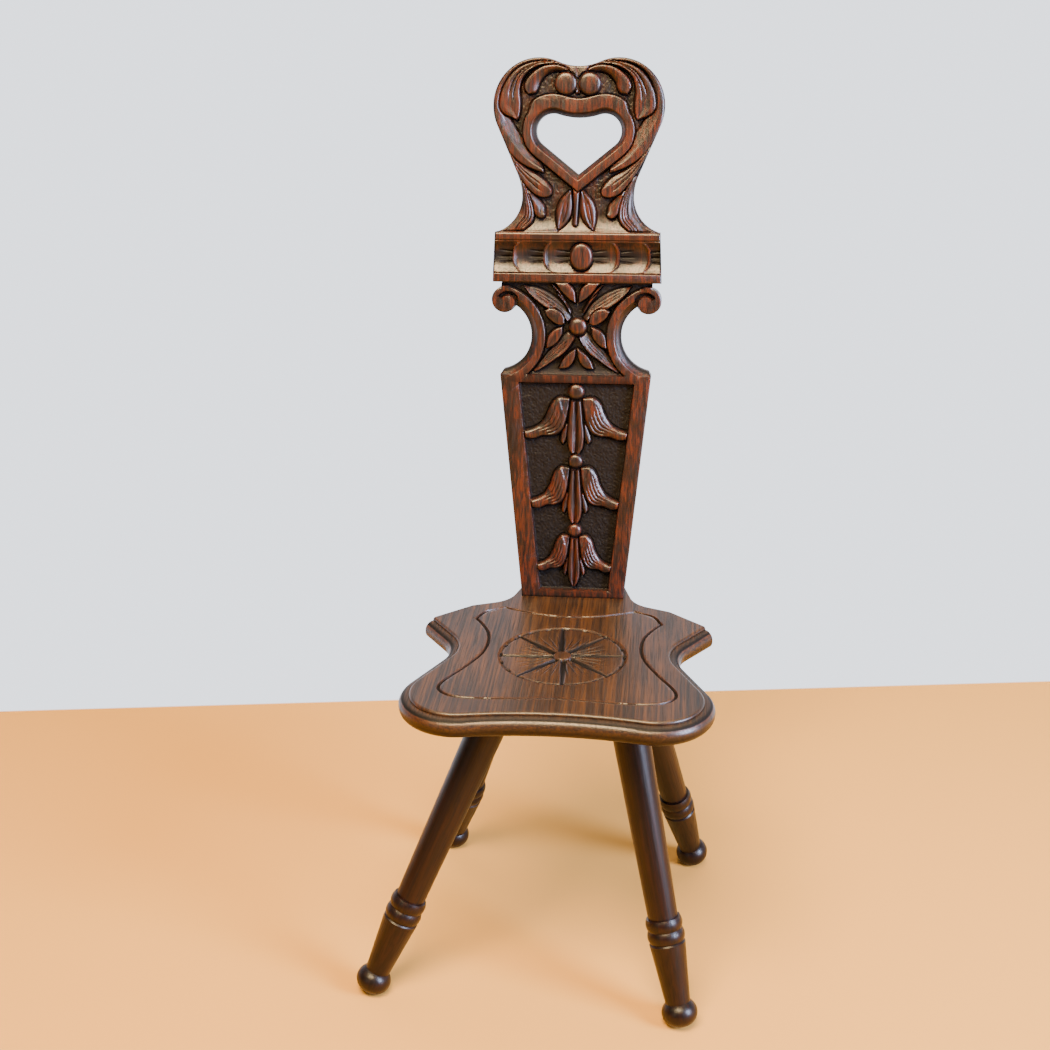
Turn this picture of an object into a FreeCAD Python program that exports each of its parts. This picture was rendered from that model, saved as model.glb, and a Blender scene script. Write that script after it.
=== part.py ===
import FreeCAD, Part
import math
import os

import Sketcher

# Carved oak spinning chair: a seat of two glued boards, a raked carved back keyed through it,
# and four turned legs wedged into blind sockets.
# Left and right are as seen from the front. Depths run back from the middle of the seat's front edge,
# heights run up from the floor, and rises up the back are measured along its board.

Vector = FreeCAD.Vector

# Driving sizes, in millimetres and degrees
SIZES = {
    # Plan of the seat
    "seat_height": 352.0,
    "seat_thickness": 24.0,
    "seat_depth": 342.0,
    "front_hollow_radius": 450.0,
    "seat_half_width": 162.0,
    "lobe_radius": 62.0,
    "waist_half_width": 126.0,
    "waist_radius": 46.0,
    "waist_depth": 153.0,
    "ear_flare_angle": 55.0,
    "ear_cut_angle": 42.34,
    "shoulder_half_width": 113.0,
    "shoulder_from_rear": 79.0,
    "shoulder_round": 14.0,
    "neck_half_width": 72.0,
    "neck_from_rear": 62.0,
    "neck_round": 36.0,
    "tail_half_width": 56.0,
    "tail_round": 4.0,
    "blank_margin": 60.0,
    # Moulded edge of the seat: a bead above a quirk, then a broad nose
    "quirk_inset": 11.0,
    "quirk_depth": 3.5,
    "bead_round": 3.0,
    "nose_round": 9.6,
    # Joint between the seat boards
    "joint_offset": 72.5,
    "dowel_diameter": 8.0,
    "dowel_length": 56.0,
    "dowel_front_depth": 32.0,
    "dowel_middle_depth": 142.0,
    "dowel_rear_from_rear": 104.0,
    "dowel_gap": 0.1,
    # Outline of the back, from the seat to the crest
    "back_from_rear": 48.6,
    "back_rake": 6.92,
    "back_thickness": 22.0,
    "foot_allowance": 6.0,
    "panel_foot_half_width": 58.6,
    "panel_head_half_width": 85.0,
    "panel_height": 261.0,
    "scroll_height": 103.0,
    "scroll_foot_half_width": 82.0,
    "notch_radius": 40.3,
    "notch_half_width": 90.5,
    "notch_rise": 44.0,
    "volute_radius": 14.2,
    "volute_half_width": 80.3,
    "volute_drop": 19.0,
    "volute_neck_half_width": 84.0,
    "frieze_height": 55.0,
    "frieze_foot_half_width": 93.8,
    "frieze_head_half_width": 91.2,
    "crest_foot_half_width": 89.4,
    "crest_waist_half_width": 61.0,
    "crest_waist_rise": 39.0,
    "crest_neck_radius": 55.0,
    "crest_half_width": 92.7,
    "crest_widest_rise": 134.5,
    "crest_head_radius": 50.0,
    "crest_dip_drop": 8.9,
    # Heart hand-hold
    "heart_rise": 108.0,
    "heart_lobe_offset": 28.0,
    "heart_lobe_radius": 18.5,
    "heart_dip_drop": 4.5,
    "heart_point_drop": 46.0,
    "heart_bevel": 4.0,
    # Sunk grounds of the carving
    "panel_border_foot": 17.0,
    "panel_border_head": 19.0,
    "panel_rail_foot": 9.0,
    "panel_rail_head": 10.0,
    "panel_sink": 6.0,
    "frieze_fillet": 10.5,
    "frieze_sink": 5.0,
    "frieze_boss_half_width": 12.8,
    "frieze_boss_end_half_width": 6.4,
    # Tenon of the back, its mortise and its key
    "tenon_width": 84.0,
    "tenon_thickness": 14.0,
    "tenon_overhang": 44.0,
    "mortise_gap": 0.2,
    "key_width": 16.0,
    "key_length": 78.0,
    "key_thick_end": 20.0,
    "key_thin_end": 14.0,
    "key_side_gap": 0.2,
    "key_draw": 3.0,
    # Turned legs: radii, and stations along the axis from the middle of the bun foot
    "bun_core_radius": 5.0,
    "bun_half_height": 14.0,
    "worn_flat_depth": 0.8,
    "ankle_radius": 13.2,
    "calf_radius": 19.2,
    "calf_station": 76.2,
    "collar_quirk_radius": 17.9,
    "collar_station": 77.7,
    "lower_bead_length": 13.4,
    "lower_bead_radius": 19.9,
    "upper_bead_length": 13.0,
    "upper_bead_radius": 19.5,
    "shaft_foot_radius": 15.8,
    "shaft_head_radius": 20.5,
    "head_allowance": 16.0,
    # Blind sockets and fox wedges
    "leg_tenon_radius": 11.0,
    "leg_tenon_length": 13.0,
    "socket_gap": 0.15,
    "socket_end_gap": 1.0,
    "wedge_length": 10.0,
    "wedge_width": 16.0,
    "wedge_thick_end": 3.2,
    "wedge_thin_end": 1.0,
    # Where each leg enters the seat's underside, and where its bun foot stands
    "front_left_head_x": -61.0,
    "front_left_head_depth": 82.0,
    "front_left_foot_x": -196.0,
    "front_left_foot_depth": 14.9,
    "front_right_head_x": 70.2,
    "front_right_head_depth": 82.0,
    "front_right_foot_x": 135.6,
    "front_right_foot_depth": -9.4,
    "rear_left_head_x": -58.0,
    "rear_left_head_from_rear": 140.0,
    "rear_left_foot_x": -150.0,
    "rear_left_foot_from_rear": 36.3,
    "rear_right_head_x": 70.7,
    "rear_right_head_from_rear": 140.0,
    "rear_right_foot_x": 149.4,
    "rear_right_foot_from_rear": 50.0,
}

CORNERS = ("front_left", "front_right", "rear_left", "rear_right")
DOWELS = ("front", "middle", "rear")

doc = FreeCAD.newDocument("spinning_chair")
sheet = doc.addObject("Spreadsheet::Sheet", "Sizes")
for row, (alias, number) in enumerate(SIZES.items(), start=1):
    sheet.set(f"A{row}", alias)
    sheet.set(f"B{row}", str(number))
    sheet.setAlias(f"B{row}", alias)
doc.recompute()


class Length:
    """A length with its sheet expression, so that it is drawn and bound from one line."""

    def __init__(self, value, text):
        self.value = value
        self.text = text

    def __add__(self, other):
        return Length(self.value + other.value, f"({self.text} + {other.text})")

    def __sub__(self, other):
        return Length(self.value - other.value, f"({self.text} - {other.text})")

    def __mul__(self, factor):
        return Length(self.value * factor, f"({self.text} * {factor})")

    def __neg__(self):
        return Length(-self.value, f"(-{self.text})")


NOTHING = Length(0.0, "0")
# Numbers of the two axes in a sketch's constraints
LEVEL = -1
UPRIGHT = -2
# Two measured places closer than this are the same place
MODELLING_ERROR = 1e-4
# Rounds stop just short of meeting one another, at this share of the room they have
ROUND_SHARE = 0.98


def size(alias):
    """One driving size of the sheet."""
    return Length(float(sheet.get(alias)), f"Sizes.{alias}")


def depth(place):
    """Depth of a place, which the sheet gives from the seat's front or from its rear end."""
    if f"{place}_from_rear" in SIZES:
        return size("seat_depth") - size(f"{place}_from_rear")
    return size(f"{place}_depth")


def bulge_radius(chord, rise):
    """Radius of the arc that stands a rise above its chord."""
    value = (chord.value ** 2 / 4 + rise.value ** 2) / (2 * rise.value)
    return Length(value, f"(({chord.text})^2 / 4 + ({rise.text})^2) / (2 * ({rise.text}))")


def distance(*steps):
    """Length of a straight stretch from its steps along the axes."""
    squares = " + ".join(f"({step.text})^2" for step in steps)
    return Length(math.hypot(*(step.value for step in steps)), f"sqrt({squares})")


class Outline:
    """A closed sketch in a body, stretch after stretch, with its sizes bound to the sheet."""

    def __init__(self, body, name, role="XY_Plane"):
        self.sketch = body.newObject("Sketcher::SketchObject", name)
        plane = next(item for item in body.Origin.OriginFeatures if item.Role == role)
        self.sketch.AttachmentSupport = (plane, "")
        self.sketch.MapMode = "FlatFace"
        self.ends = []

    def add(self, curve, start):
        """Add a curve that is walked from its given start."""
        self.sketch.addGeometry(curve)
        kept = self.sketch.Geometry[-1]
        forwards = kept.StartPoint.distanceToPoint(start) < kept.EndPoint.distanceToPoint(start)
        self.ends.append((1, 2) if forwards else (2, 1))
        return len(self.ends) - 1

    def line(self, start, end):
        """A straight stretch."""
        return self.add(Part.LineSegment(Vector(*start), Vector(*end)), Vector(*start))

    def arc(self, start, end, centre, hollow=False):
        """A round stretch about a centre; outlines run anticlockwise, so a hollow one runs clockwise."""
        circle = Part.Circle(Vector(*centre), Vector(0, 0, 1), math.dist(start, centre))
        bounds = [circle.parameter(Vector(*point)) for point in (start, end)]
        if hollow:
            bounds.reverse()
        return self.add(Part.ArcOfCircle(circle, *bounds), Vector(*start))

    def point(self, stretch, position):
        """A stretch and the number of its start, end or centre, as constraints take them."""
        if position == "centre":
            return stretch, 3
        return stretch, self.ends[stretch][("start", "end").index(position)]

    def join(self, first, second, smooth=False):
        """Join the end of one stretch to the start of another, tangent where it is smooth."""
        kind = "Tangent" if smooth else "Coincident"
        self.rule(kind, *self.point(first, "end"), *self.point(second, "start"))

    def close(self, smooth=()):
        """Join every stretch to the next, smoothly after those listed."""
        for stretch in range(len(self.ends)):
            self.join(stretch, (stretch + 1) % len(self.ends), stretch in smooth)

    def rule(self, *parts):
        """Add one constraint."""
        return self.sketch.addConstraint(Sketcher.Constraint(*parts))

    def dimension(self, length, kind, *where):
        """Add one dimension that follows the sheet."""
        index = self.rule(kind, *where, length.value)
        self.sketch.setExpression(f"Constraints[{index}]", length.text)

    def place(self, stretch, position, across=None, along=None):
        """Place the start, end or centre of a stretch."""
        if across is not None:
            self.dimension(across, "DistanceX", *self.point(stretch, position))
        if along is not None:
            self.dimension(along, "DistanceY", *self.point(stretch, position))

    def on_axis(self, stretch, position, axis=UPRIGHT):
        """Keep a point of a stretch on one of the sketch's axes."""
        self.rule("PointOnObject", *self.point(stretch, position), axis)

    def radius(self, stretch, length):
        """Give a round stretch its radius."""
        self.dimension(length, "Radius", stretch)

    def polygon(self, corners):
        """Straight stretches through corners of two lengths each; None lies on the upright axis."""
        points = [(0.0 if across is None else across.value, along.value) for across, along in corners]
        for index, (across, along) in enumerate(corners):
            stretch = self.line(points[index], points[(index + 1) % len(points)])
            self.place(stretch, "start", across, along)
            if across is None:
                self.on_axis(stretch, "start")
        self.close()
        return self.sketch


def circle_point(centre, radius, angle):
    """Point of a circle at an angle in radians."""
    return (centre[0] + radius * math.cos(angle), centre[1] + radius * math.sin(angle))


def toward(centre, radius, other):
    """Point of a circle on the side of another point."""
    return circle_point(centre, radius, math.atan2(other[1] - centre[1], other[0] - centre[0]))


def crossing_tangent(first, first_radius, second, second_radius, turn):
    """Touch points of the straight line that passes between two circles."""
    bearing = math.atan2(second[1] - first[1], second[0] - first[0])
    spread = math.acos((first_radius + second_radius) / math.dist(first, second))
    normal = bearing + turn * spread
    return circle_point(first, first_radius, normal), circle_point(second, -second_radius, normal)


def new_body(name):
    """An empty body."""
    return doc.addObject("PartDesign::Body", name)


def pad(body, sketch, length, reverse=False):
    """Raise a closed sketch to a solid."""
    feature = body.newObject("PartDesign::Pad", sketch.Name + "_pad")
    feature.Profile = sketch
    feature.setExpression("Length", length.text)
    feature.Reversed = reverse
    sketch.Visibility = False
    doc.recompute()
    return feature


def pocket(body, sketch, sink=None):
    """Sink a closed sketch into the solid, or cut right through it, and see that it did cut."""
    before = body.Shape.Volume
    feature = body.newObject("PartDesign::Pocket", sketch.Name + "_pocket")
    feature.Profile = sketch
    if sink is None:
        feature.Type = "ThroughAll"
        feature.Midplane = True
    else:
        feature.setExpression("Length", sink.text)
    doc.recompute()
    if body.Shape.Volume >= before:
        raise RuntimeError(f"{sketch.Name} cuts nothing")
    return feature


def dress(body, kind, test, text):
    """Round or bevel the edges of a body that pass a test."""
    base = body.Tip
    names = [f"Edge{number}" for number, edge in enumerate(base.Shape.Edges, start=1) if test(edge.BoundBox)]
    if not names:
        raise RuntimeError(f"no edge to dress on {base.Name}")
    feature = body.newObject(f"PartDesign::{kind}", base.Name + "_" + kind.lower())
    feature.Base = (base, names)
    feature.setExpression("Radius" if kind == "Fillet" else "Size", text)
    doc.recompute()
    return feature


def near(first, second):
    """Two places are the same, within modelling error."""
    return abs(first - second) < MODELLING_ERROR


def combine(kind, name, base, tool):
    """Cut, fuse or intersect two solids."""
    feature = doc.addObject(f"Part::{kind}", name)
    feature.Base = base
    feature.Tool = tool
    feature.Refine = True
    return feature


def both_halves(name, half):
    """A half solid and its mirror image across the middle plane, as one."""
    mirror = doc.addObject("Part::Mirroring", name + "_mirror")
    mirror.Source = half
    mirror.Normal = Vector(1, 0, 0)
    return combine("Fuse", name, half, mirror)


def box(name, length, width, height, placement):
    """A block of three lengths."""
    block = doc.addObject("Part::Box", name)
    block.setExpression("Length", length.text)
    block.setExpression("Width", width.text)
    block.setExpression("Height", height.text)
    block.Placement = placement
    return block


def rod(name, radius, height, placement):
    """A round bar along its own upright axis."""
    bar = doc.addObject("Part::Cylinder", name)
    bar.setExpression("Radius", radius.text)
    bar.setExpression("Height", height.text)
    bar.Placement = placement
    return bar


def at(across, back, height, rotation=None):
    """A place in the chair, with an optional turn."""
    return FreeCAD.Placement(Vector(across, back, height), rotation or FreeCAD.Rotation())


underside = size("seat_height") - size("seat_thickness")
margin = size("blank_margin")


def seat_plan(body, name, inset=NOTHING):
    """Half plan of the moulded edge: front hollow, lobe, waist and flare, drawn in by an inset."""
    hollow_radius = size("front_hollow_radius") + inset
    lobe_radius = size("lobe_radius") - inset
    lobe_across = size("seat_half_width") - size("lobe_radius")
    waist_radius = size("waist_radius") + inset
    waist_across = size("waist_half_width") + size("waist_radius")
    flare = math.radians(size("ear_flare_angle").value)
    rear = size("seat_depth") + margin

    hollow = (0.0, -size("front_hollow_radius").value)
    spread = size("front_hollow_radius").value + size("lobe_radius").value
    lobe = (lobe_across.value, hollow[1] + math.sqrt(spread ** 2 - lobe_across.value ** 2))
    waist = (waist_across.value, size("waist_depth").value)
    front = (0.0, inset.value)
    lobe_start = toward(lobe, lobe_radius.value, hollow)
    lobe_end, waist_start = crossing_tangent(lobe, lobe_radius.value, waist, waist_radius.value, -1)
    waist_end = circle_point(waist, waist_radius.value, flare + math.pi / 2)
    flare_end = (waist_end[0] + (rear.value - waist_end[1]) / math.tan(flare), rear.value)

    plan = Outline(body, name)
    axis = plan.line((0.0, rear.value), front)
    front_arc = plan.arc(front, lobe_start, hollow, hollow=True)
    lobe_arc = plan.arc(lobe_start, lobe_end, lobe)
    plan.line(lobe_end, waist_start)
    waist_arc = plan.arc(waist_start, waist_end, waist, hollow=True)
    flare_line = plan.line(waist_end, flare_end)
    rear_line = plan.line(flare_end, (0.0, rear.value))
    plan.close(smooth=range(front_arc, flare_line))

    plan.on_axis(axis, "start")
    plan.on_axis(front_arc, "start")
    if inset is NOTHING:
        plan.on_axis(front_arc, "start", LEVEL)
    else:
        plan.place(front_arc, "start", along=inset)
    plan.on_axis(front_arc, "centre")
    plan.radius(front_arc, hollow_radius)
    plan.place(lobe_arc, "centre", across=lobe_across)
    plan.radius(lobe_arc, lobe_radius)
    plan.place(waist_arc, "centre", waist_across, size("waist_depth"))
    plan.radius(waist_arc, waist_radius)
    plan.dimension(Length(flare, size("ear_flare_angle").text + " * 1 deg"), "Angle", flare_line)
    plan.place(flare_line, "end", along=rear)
    plan.rule("Horizontal", rear_line)
    return plan.sketch


def seat_blank():
    """Both seat boards as one solid, with the moulded edge and the square rear edges."""
    body = new_body("seat_half")
    body.Placement = at(0, 0, underside.value)
    nose_height = size("seat_thickness") - size("quirk_depth")
    rear = size("seat_depth") + margin

    def rim(level):
        return lambda edge: (near(edge.ZMin, level) and near(edge.ZMax, level)
                             and not near(edge.XMax, 0) and not near(edge.YMin, rear.value))

    outer = seat_plan(body, "seat_edge")
    pad(body, outer, nose_height)
    nose_rims = (rim(0.0), rim(nose_height.value))
    dress(body, "Fillet", lambda edge: any(test(edge) for test in nose_rims),
          f"min(Sizes.nose_round; {nose_height.text} / 2 * {ROUND_SHARE})")

    inner = seat_plan(body, "seat_bead", size("quirk_inset"))
    inner.setExpression("AttachmentOffset.Base.z", nose_height.text)
    doc.recompute()
    pad(body, inner, size("quirk_depth"))
    dress(body, "Fillet", rim(size("seat_thickness").value),
          f"min(Sizes.bead_round; Sizes.quirk_depth * {ROUND_SHARE})")

    waste = Outline(body, "seat_rear")
    far = size("seat_half_width") + rear
    slope = math.tan(math.radians(size("ear_cut_angle").value))
    ear_run = far - size("shoulder_half_width")
    ear_fall = Length(ear_run.value * slope, f"({ear_run.text} * tan(Sizes.ear_cut_angle * 1 deg))")
    turns = {"tail": size("seat_depth"), "neck": depth("neck"), "shoulder": depth("shoulder")}
    corners = [(size(f"{turn}_half_width"), back) for turn, back in turns.items()]
    corners += [(far, depth("shoulder") - ear_fall), (far, rear + margin), (None, rear + margin)]
    pocket(body, waste.polygon([(None, size("seat_depth"))] + corners))
    for turn, back in turns.items():
        across = size(f"{turn}_half_width")
        dress(body, "Fillet",
              lambda edge: near(edge.XMin, across.value) and near(edge.XMax, across.value)
              and near(edge.YMin, back.value) and near(edge.YMax, back.value),
              size(f"{turn}_round").text)
    return both_halves("seat_blank", body)


def raked(across, rise, out):
    """A place on the raked back: across it, up it from the seat's top, and out from its front face."""
    tilt = FreeCAD.Rotation(Vector(1, 0, 0), 90.0 - size("back_rake").value)
    foot = Vector(0, depth("back").value, size("seat_height").value)
    return FreeCAD.Placement(foot + tilt.multVec(Vector(across, rise, out)), tilt)


panel_top = size("foot_allowance") + size("panel_height")
frieze_foot = panel_top + size("scroll_height")
frieze_top = frieze_foot + size("frieze_height")


def back_outline(body):
    """Half outline of the back: panel, C-scroll with its volute, frieze and crest."""
    notch = (size("notch_half_width"), panel_top + size("notch_rise"))
    volute = (size("volute_half_width"), frieze_foot - size("volute_drop"))
    waist_height = frieze_top + size("crest_waist_rise")
    neck = (size("crest_waist_half_width") + size("crest_neck_radius"), waist_height)
    head = (size("crest_half_width") - size("crest_head_radius"), frieze_top + size("crest_widest_rise"))
    dip_height = head[1] + size("crest_head_radius") - size("crest_dip_drop")

    def values(pair):
        return (pair[0].value, pair[1].value)

    notch_radius, volute_radius = size("notch_radius").value, size("volute_radius").value
    neck_radius, head_radius = size("crest_neck_radius").value, size("crest_head_radius").value
    ledge = size("scroll_foot_half_width").value
    notch_foot = (ledge, notch[1].value - math.sqrt(notch_radius ** 2 - (notch[0].value - ledge) ** 2))
    apart = math.dist(values(notch), values(volute))
    along = (notch_radius ** 2 - volute_radius ** 2 + apart ** 2) / (2 * apart)
    bearing = math.atan2(volute[1].value - notch[1].value, volute[0].value - notch[0].value)
    meeting = circle_point(values(notch), notch_radius, bearing + math.acos(along / notch_radius))
    eye = size("volute_neck_half_width").value
    volute_end = (eye, volute[1].value + math.sqrt(volute_radius ** 2 - (eye - volute[0].value) ** 2))
    waist = (size("crest_waist_half_width").value, waist_height.value)
    flare_foot = (size("crest_foot_half_width").value, frieze_top.value)
    step = (flare_foot[0] - waist[0], waist[1] - flare_foot[1])
    flare = (waist[0] + (step[0] ** 2 + step[1] ** 2) / (2 * step[0]), waist[1])
    neck_end, head_start = crossing_tangent(values(neck), neck_radius, values(head), head_radius, 1)
    lift = head[1].value - dip_height.value
    dip_radius = (head[0].value ** 2 + lift ** 2 - head_radius ** 2) / (2 * (head_radius + lift))
    dip = (0.0, dip_height.value + dip_radius)
    head_end = toward(values(head), head_radius, dip)

    side = Outline(body, "back_outline")
    foot = side.line((0.0, 0.0), (size("panel_foot_half_width").value, 0.0))
    panel_head = (size("panel_head_half_width").value, panel_top.value)
    panel_side = side.line((size("panel_foot_half_width").value, 0.0), panel_head)
    ledge_line = side.line(panel_head, notch_foot)
    notch_arc = side.arc(notch_foot, meeting, values(notch), hollow=True)
    volute_arc = side.arc(meeting, volute_end, values(volute))
    neck_line = side.line(volute_end, (eye, frieze_foot.value))
    frieze_foot_end = (size("frieze_foot_half_width").value, frieze_foot.value)
    under_line = side.line((eye, frieze_foot.value), frieze_foot_end)
    frieze_head_end = (size("frieze_head_half_width").value, frieze_top.value)
    frieze_side = side.line(frieze_foot_end, frieze_head_end)
    top_line = side.line(frieze_head_end, flare_foot)
    flare_arc = side.arc(flare_foot, waist, flare, hollow=True)
    neck_arc = side.arc(waist, neck_end, values(neck), hollow=True)
    side.line(neck_end, head_start)
    head_arc = side.arc(head_start, head_end, values(head))
    dip_arc = side.arc(head_end, (0.0, dip_height.value), dip, hollow=True)
    side.line((0.0, dip_height.value), (0.0, 0.0))
    side.close(smooth=range(flare_arc, dip_arc))

    for axis in (LEVEL, UPRIGHT):
        side.on_axis(foot, "start", axis)
    for level in (foot, under_line, top_line):
        side.rule("Horizontal", level)
    side.rule("Vertical", neck_line)
    side.place(foot, "end", across=size("panel_foot_half_width"))
    side.place(panel_side, "end", size("panel_head_half_width"), panel_top)
    side.place(ledge_line, "end", across=size("scroll_foot_half_width"))
    side.place(volute_arc, "end", across=size("volute_neck_half_width"))
    side.place(neck_line, "end", along=frieze_foot)
    side.place(under_line, "end", across=size("frieze_foot_half_width"))
    side.place(frieze_side, "end", size("frieze_head_half_width"), frieze_top)
    side.place(top_line, "end", across=size("crest_foot_half_width"))
    side.place(flare_arc, "end", along=waist_height)
    for arc, centre, radius in ((notch_arc, notch, "notch_radius"), (volute_arc, volute, "volute_radius"),
                                (neck_arc, neck, "crest_neck_radius"), (head_arc, head, "crest_head_radius")):
        side.place(arc, "centre", *centre)
        side.radius(arc, size(radius))
    side.on_axis(dip_arc, "centre")
    side.on_axis(dip_arc, "end")
    side.place(dip_arc, "end", along=dip_height)
    return side.sketch


def heart_outline(body):
    """Half outline of the heart hand-hold."""
    lobe = (size("heart_lobe_offset"), frieze_top + size("heart_rise"))
    radius = size("heart_lobe_radius")
    tip = lobe[1] - size("heart_point_drop")
    dip = lobe[1] + radius - size("heart_dip_drop")
    centre = (lobe[0].value, lobe[1].value)
    start = (0.0, tip.value)
    bearing = math.atan2(centre[1] - start[1], centre[0] - start[0])
    slant = bearing - math.asin(radius.value / math.dist(start, centre))
    touch = circle_point(centre, radius.value, slant - math.pi / 2)
    lift = centre[1] - dip.value
    dip_radius = (centre[0] ** 2 + lift ** 2 - radius.value ** 2) / (2 * (radius.value + lift))
    dip_centre = (0.0, dip.value + dip_radius)
    lobe_end = toward(centre, radius.value, dip_centre)

    heart = Outline(body, "heart")
    flank = heart.line(start, touch)
    lobe_arc = heart.arc(touch, lobe_end, centre)
    dip_arc = heart.arc(lobe_end, (0.0, dip.value), dip_centre, hollow=True)
    heart.line((0.0, dip.value), start)
    heart.close(smooth=(flank, lobe_arc))
    heart.on_axis(flank, "start")
    heart.place(flank, "start", along=tip)
    heart.place(lobe_arc, "centre", *lobe)
    heart.radius(lobe_arc, radius)
    heart.on_axis(dip_arc, "centre")
    heart.on_axis(dip_arc, "end")
    heart.place(dip_arc, "end", along=dip)
    return heart.sketch


def frieze_ground(body):
    """Half of the frieze's sunk ground, which leaves its barrel-shaped boss in the middle."""
    low = frieze_foot + size("frieze_fillet")
    high = frieze_top - size("frieze_fillet")
    boss = size("frieze_boss_half_width")
    boss_end = size("frieze_boss_end_half_width")
    boss_radius = bulge_radius(high - low, boss - boss_end)
    boss_centre = (boss.value - boss_radius.value, (low.value + high.value) / 2)
    far = size("frieze_foot_half_width") + margin

    ground = Outline(body, "frieze_ground")
    bottom = ground.line((boss_end.value, low.value), (far.value, low.value))
    side = ground.line((far.value, low.value), (far.value, high.value))
    top = ground.line((far.value, high.value), (boss_end.value, high.value))
    boss_arc = ground.arc((boss_end.value, high.value), (boss_end.value, low.value), boss_centre, hollow=True)
    ground.close()
    ground.place(bottom, "start", boss_end, low)
    ground.place(side, "start", far, low)
    ground.place(top, "start", far, high)
    ground.place(boss_arc, "start", boss_end, high)
    ground.radius(boss_arc, boss_radius)
    return ground.sketch


def back_solid():
    """Carved back without its tenon: outline, heart and the sunk grounds, scribed to the seat."""
    body = new_body("back_half")
    body.Placement = raked(0, -size("foot_allowance").value, 0)
    pad(body, back_outline(body), size("back_thickness"), reverse=True)
    pocket(body, heart_outline(body), size("back_thickness"))

    above_heart = frieze_top + size("heart_rise") + size("heart_lobe_radius") + size("heart_bevel")
    dress(body, "Chamfer",
          lambda edge: near(edge.ZMin, 0) and near(edge.ZMax, 0) and not near(edge.XMax, 0)
          and frieze_top.value < edge.YMin and edge.YMax < above_heart.value
          and edge.XMax < size("crest_waist_half_width").value,
          "Sizes.heart_bevel")

    panel = Outline(body, "panel_ground")
    low = size("foot_allowance") + size("panel_rail_foot")
    high = panel_top - size("panel_rail_head")
    pocket(body, panel.polygon([
        (None, low), (size("panel_foot_half_width") - size("panel_border_foot"), low),
        (size("panel_head_half_width") - size("panel_border_head"), high), (None, high)]), size("panel_sink"))
    pocket(body, frieze_ground(body), size("frieze_sink"))

    whole = both_halves("back_whole", body)
    width = size("seat_half_width") * 2
    below_seat = box("back_scribe", width, width, margin,
                     at(-width.value / 2, depth("back").value - width.value / 2,
                        size("seat_height").value - margin.value))
    return combine("Cut", "back_scribed", whole, below_seat)


def tenon_block(name, gap, rise_from, rise_to):
    """Block along the raked tenon, made wider on every side by a gap."""
    width = size("tenon_width") + gap * 2
    thickness = size("tenon_thickness") + gap * 2
    middle = size("back_thickness").value / 2
    corner = raked(-width.value / 2, rise_from.value, -middle - thickness.value / 2)
    return box(name, width, rise_to - rise_from, thickness, corner)


def key_profile(name, width, draw):
    """Side profile of the tapered key, as a solid of a width, raised above the underside by a draw."""
    body = new_body(name)
    rake = math.radians(size("back_rake").value)
    lean = Length(size("back_thickness").value / 2 * math.cos(rake)
                  - size("seat_thickness").value * math.tan(rake),
                  "(Sizes.back_thickness / 2 * cos(Sizes.back_rake * 1 deg)"
                  " - Sizes.seat_thickness * tan(Sizes.back_rake * 1 deg))")
    front = depth("back") + lean - size("key_length") * 0.5
    rear = front + size("key_length")
    top = underside + draw
    corners = [(front, underside - size("key_thin_end")), (rear, underside - size("key_thick_end")),
               (rear, top), (front, top)]
    feature = pad(body, Outline(body, name + "_side", "YZ_Plane").polygon(corners), width)
    feature.Midplane = True
    return body


def back_board():
    """Back with its through tenon and the slot for its key."""
    upright_share = math.cos(math.radians(size("back_rake").value))
    reach = size("seat_thickness") + size("tenon_overhang")
    tenon = tenon_block("back_tenon", NOTHING, -(reach * (1 / upright_share)), size("foot_allowance"))
    joined = combine("Fuse", "back_joined", back_solid(), tenon)
    slot = key_profile("key_slot", size("key_width") + size("key_side_gap") * 2, size("key_draw"))
    return combine("Cut", "back_board", joined, slot)


def leg_reach(corner):
    """Height of the middle of a bun foot above the floor, and the leg's length from there to the seat."""
    steps = [size(f"{corner}_head_x") - size(f"{corner}_foot_x"),
             depth(f"{corner}_head") - depth(f"{corner}_foot")]
    lean, slant = distance(*steps), distance(*steps, underside)
    core = size("bun_core_radius")
    tilted_core = Length(core.value * lean.value / slant.value, f"({core.text} * {lean.text} / {slant.text})")
    stand = tilted_core + size("bun_half_height") - size("worn_flat_depth")
    return stand, distance(*steps, underside - stand)


def leg_axis(corner):
    """Middle of the bun foot, head of the shaft, and the leg's own directions."""
    head = Vector(size(f"{corner}_head_x").value, depth(f"{corner}_head").value, underside.value)
    stand, _ = leg_reach(corner)
    foot = Vector(size(f"{corner}_foot_x").value, depth(f"{corner}_foot").value, stand.value)
    along = (head - foot).normalize()
    sideways = (Vector(1, 0, 0) - along * along.x).normalize()
    return foot, head, FreeCAD.Rotation(sideways, along.cross(sideways), along, "ZXY")


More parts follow.
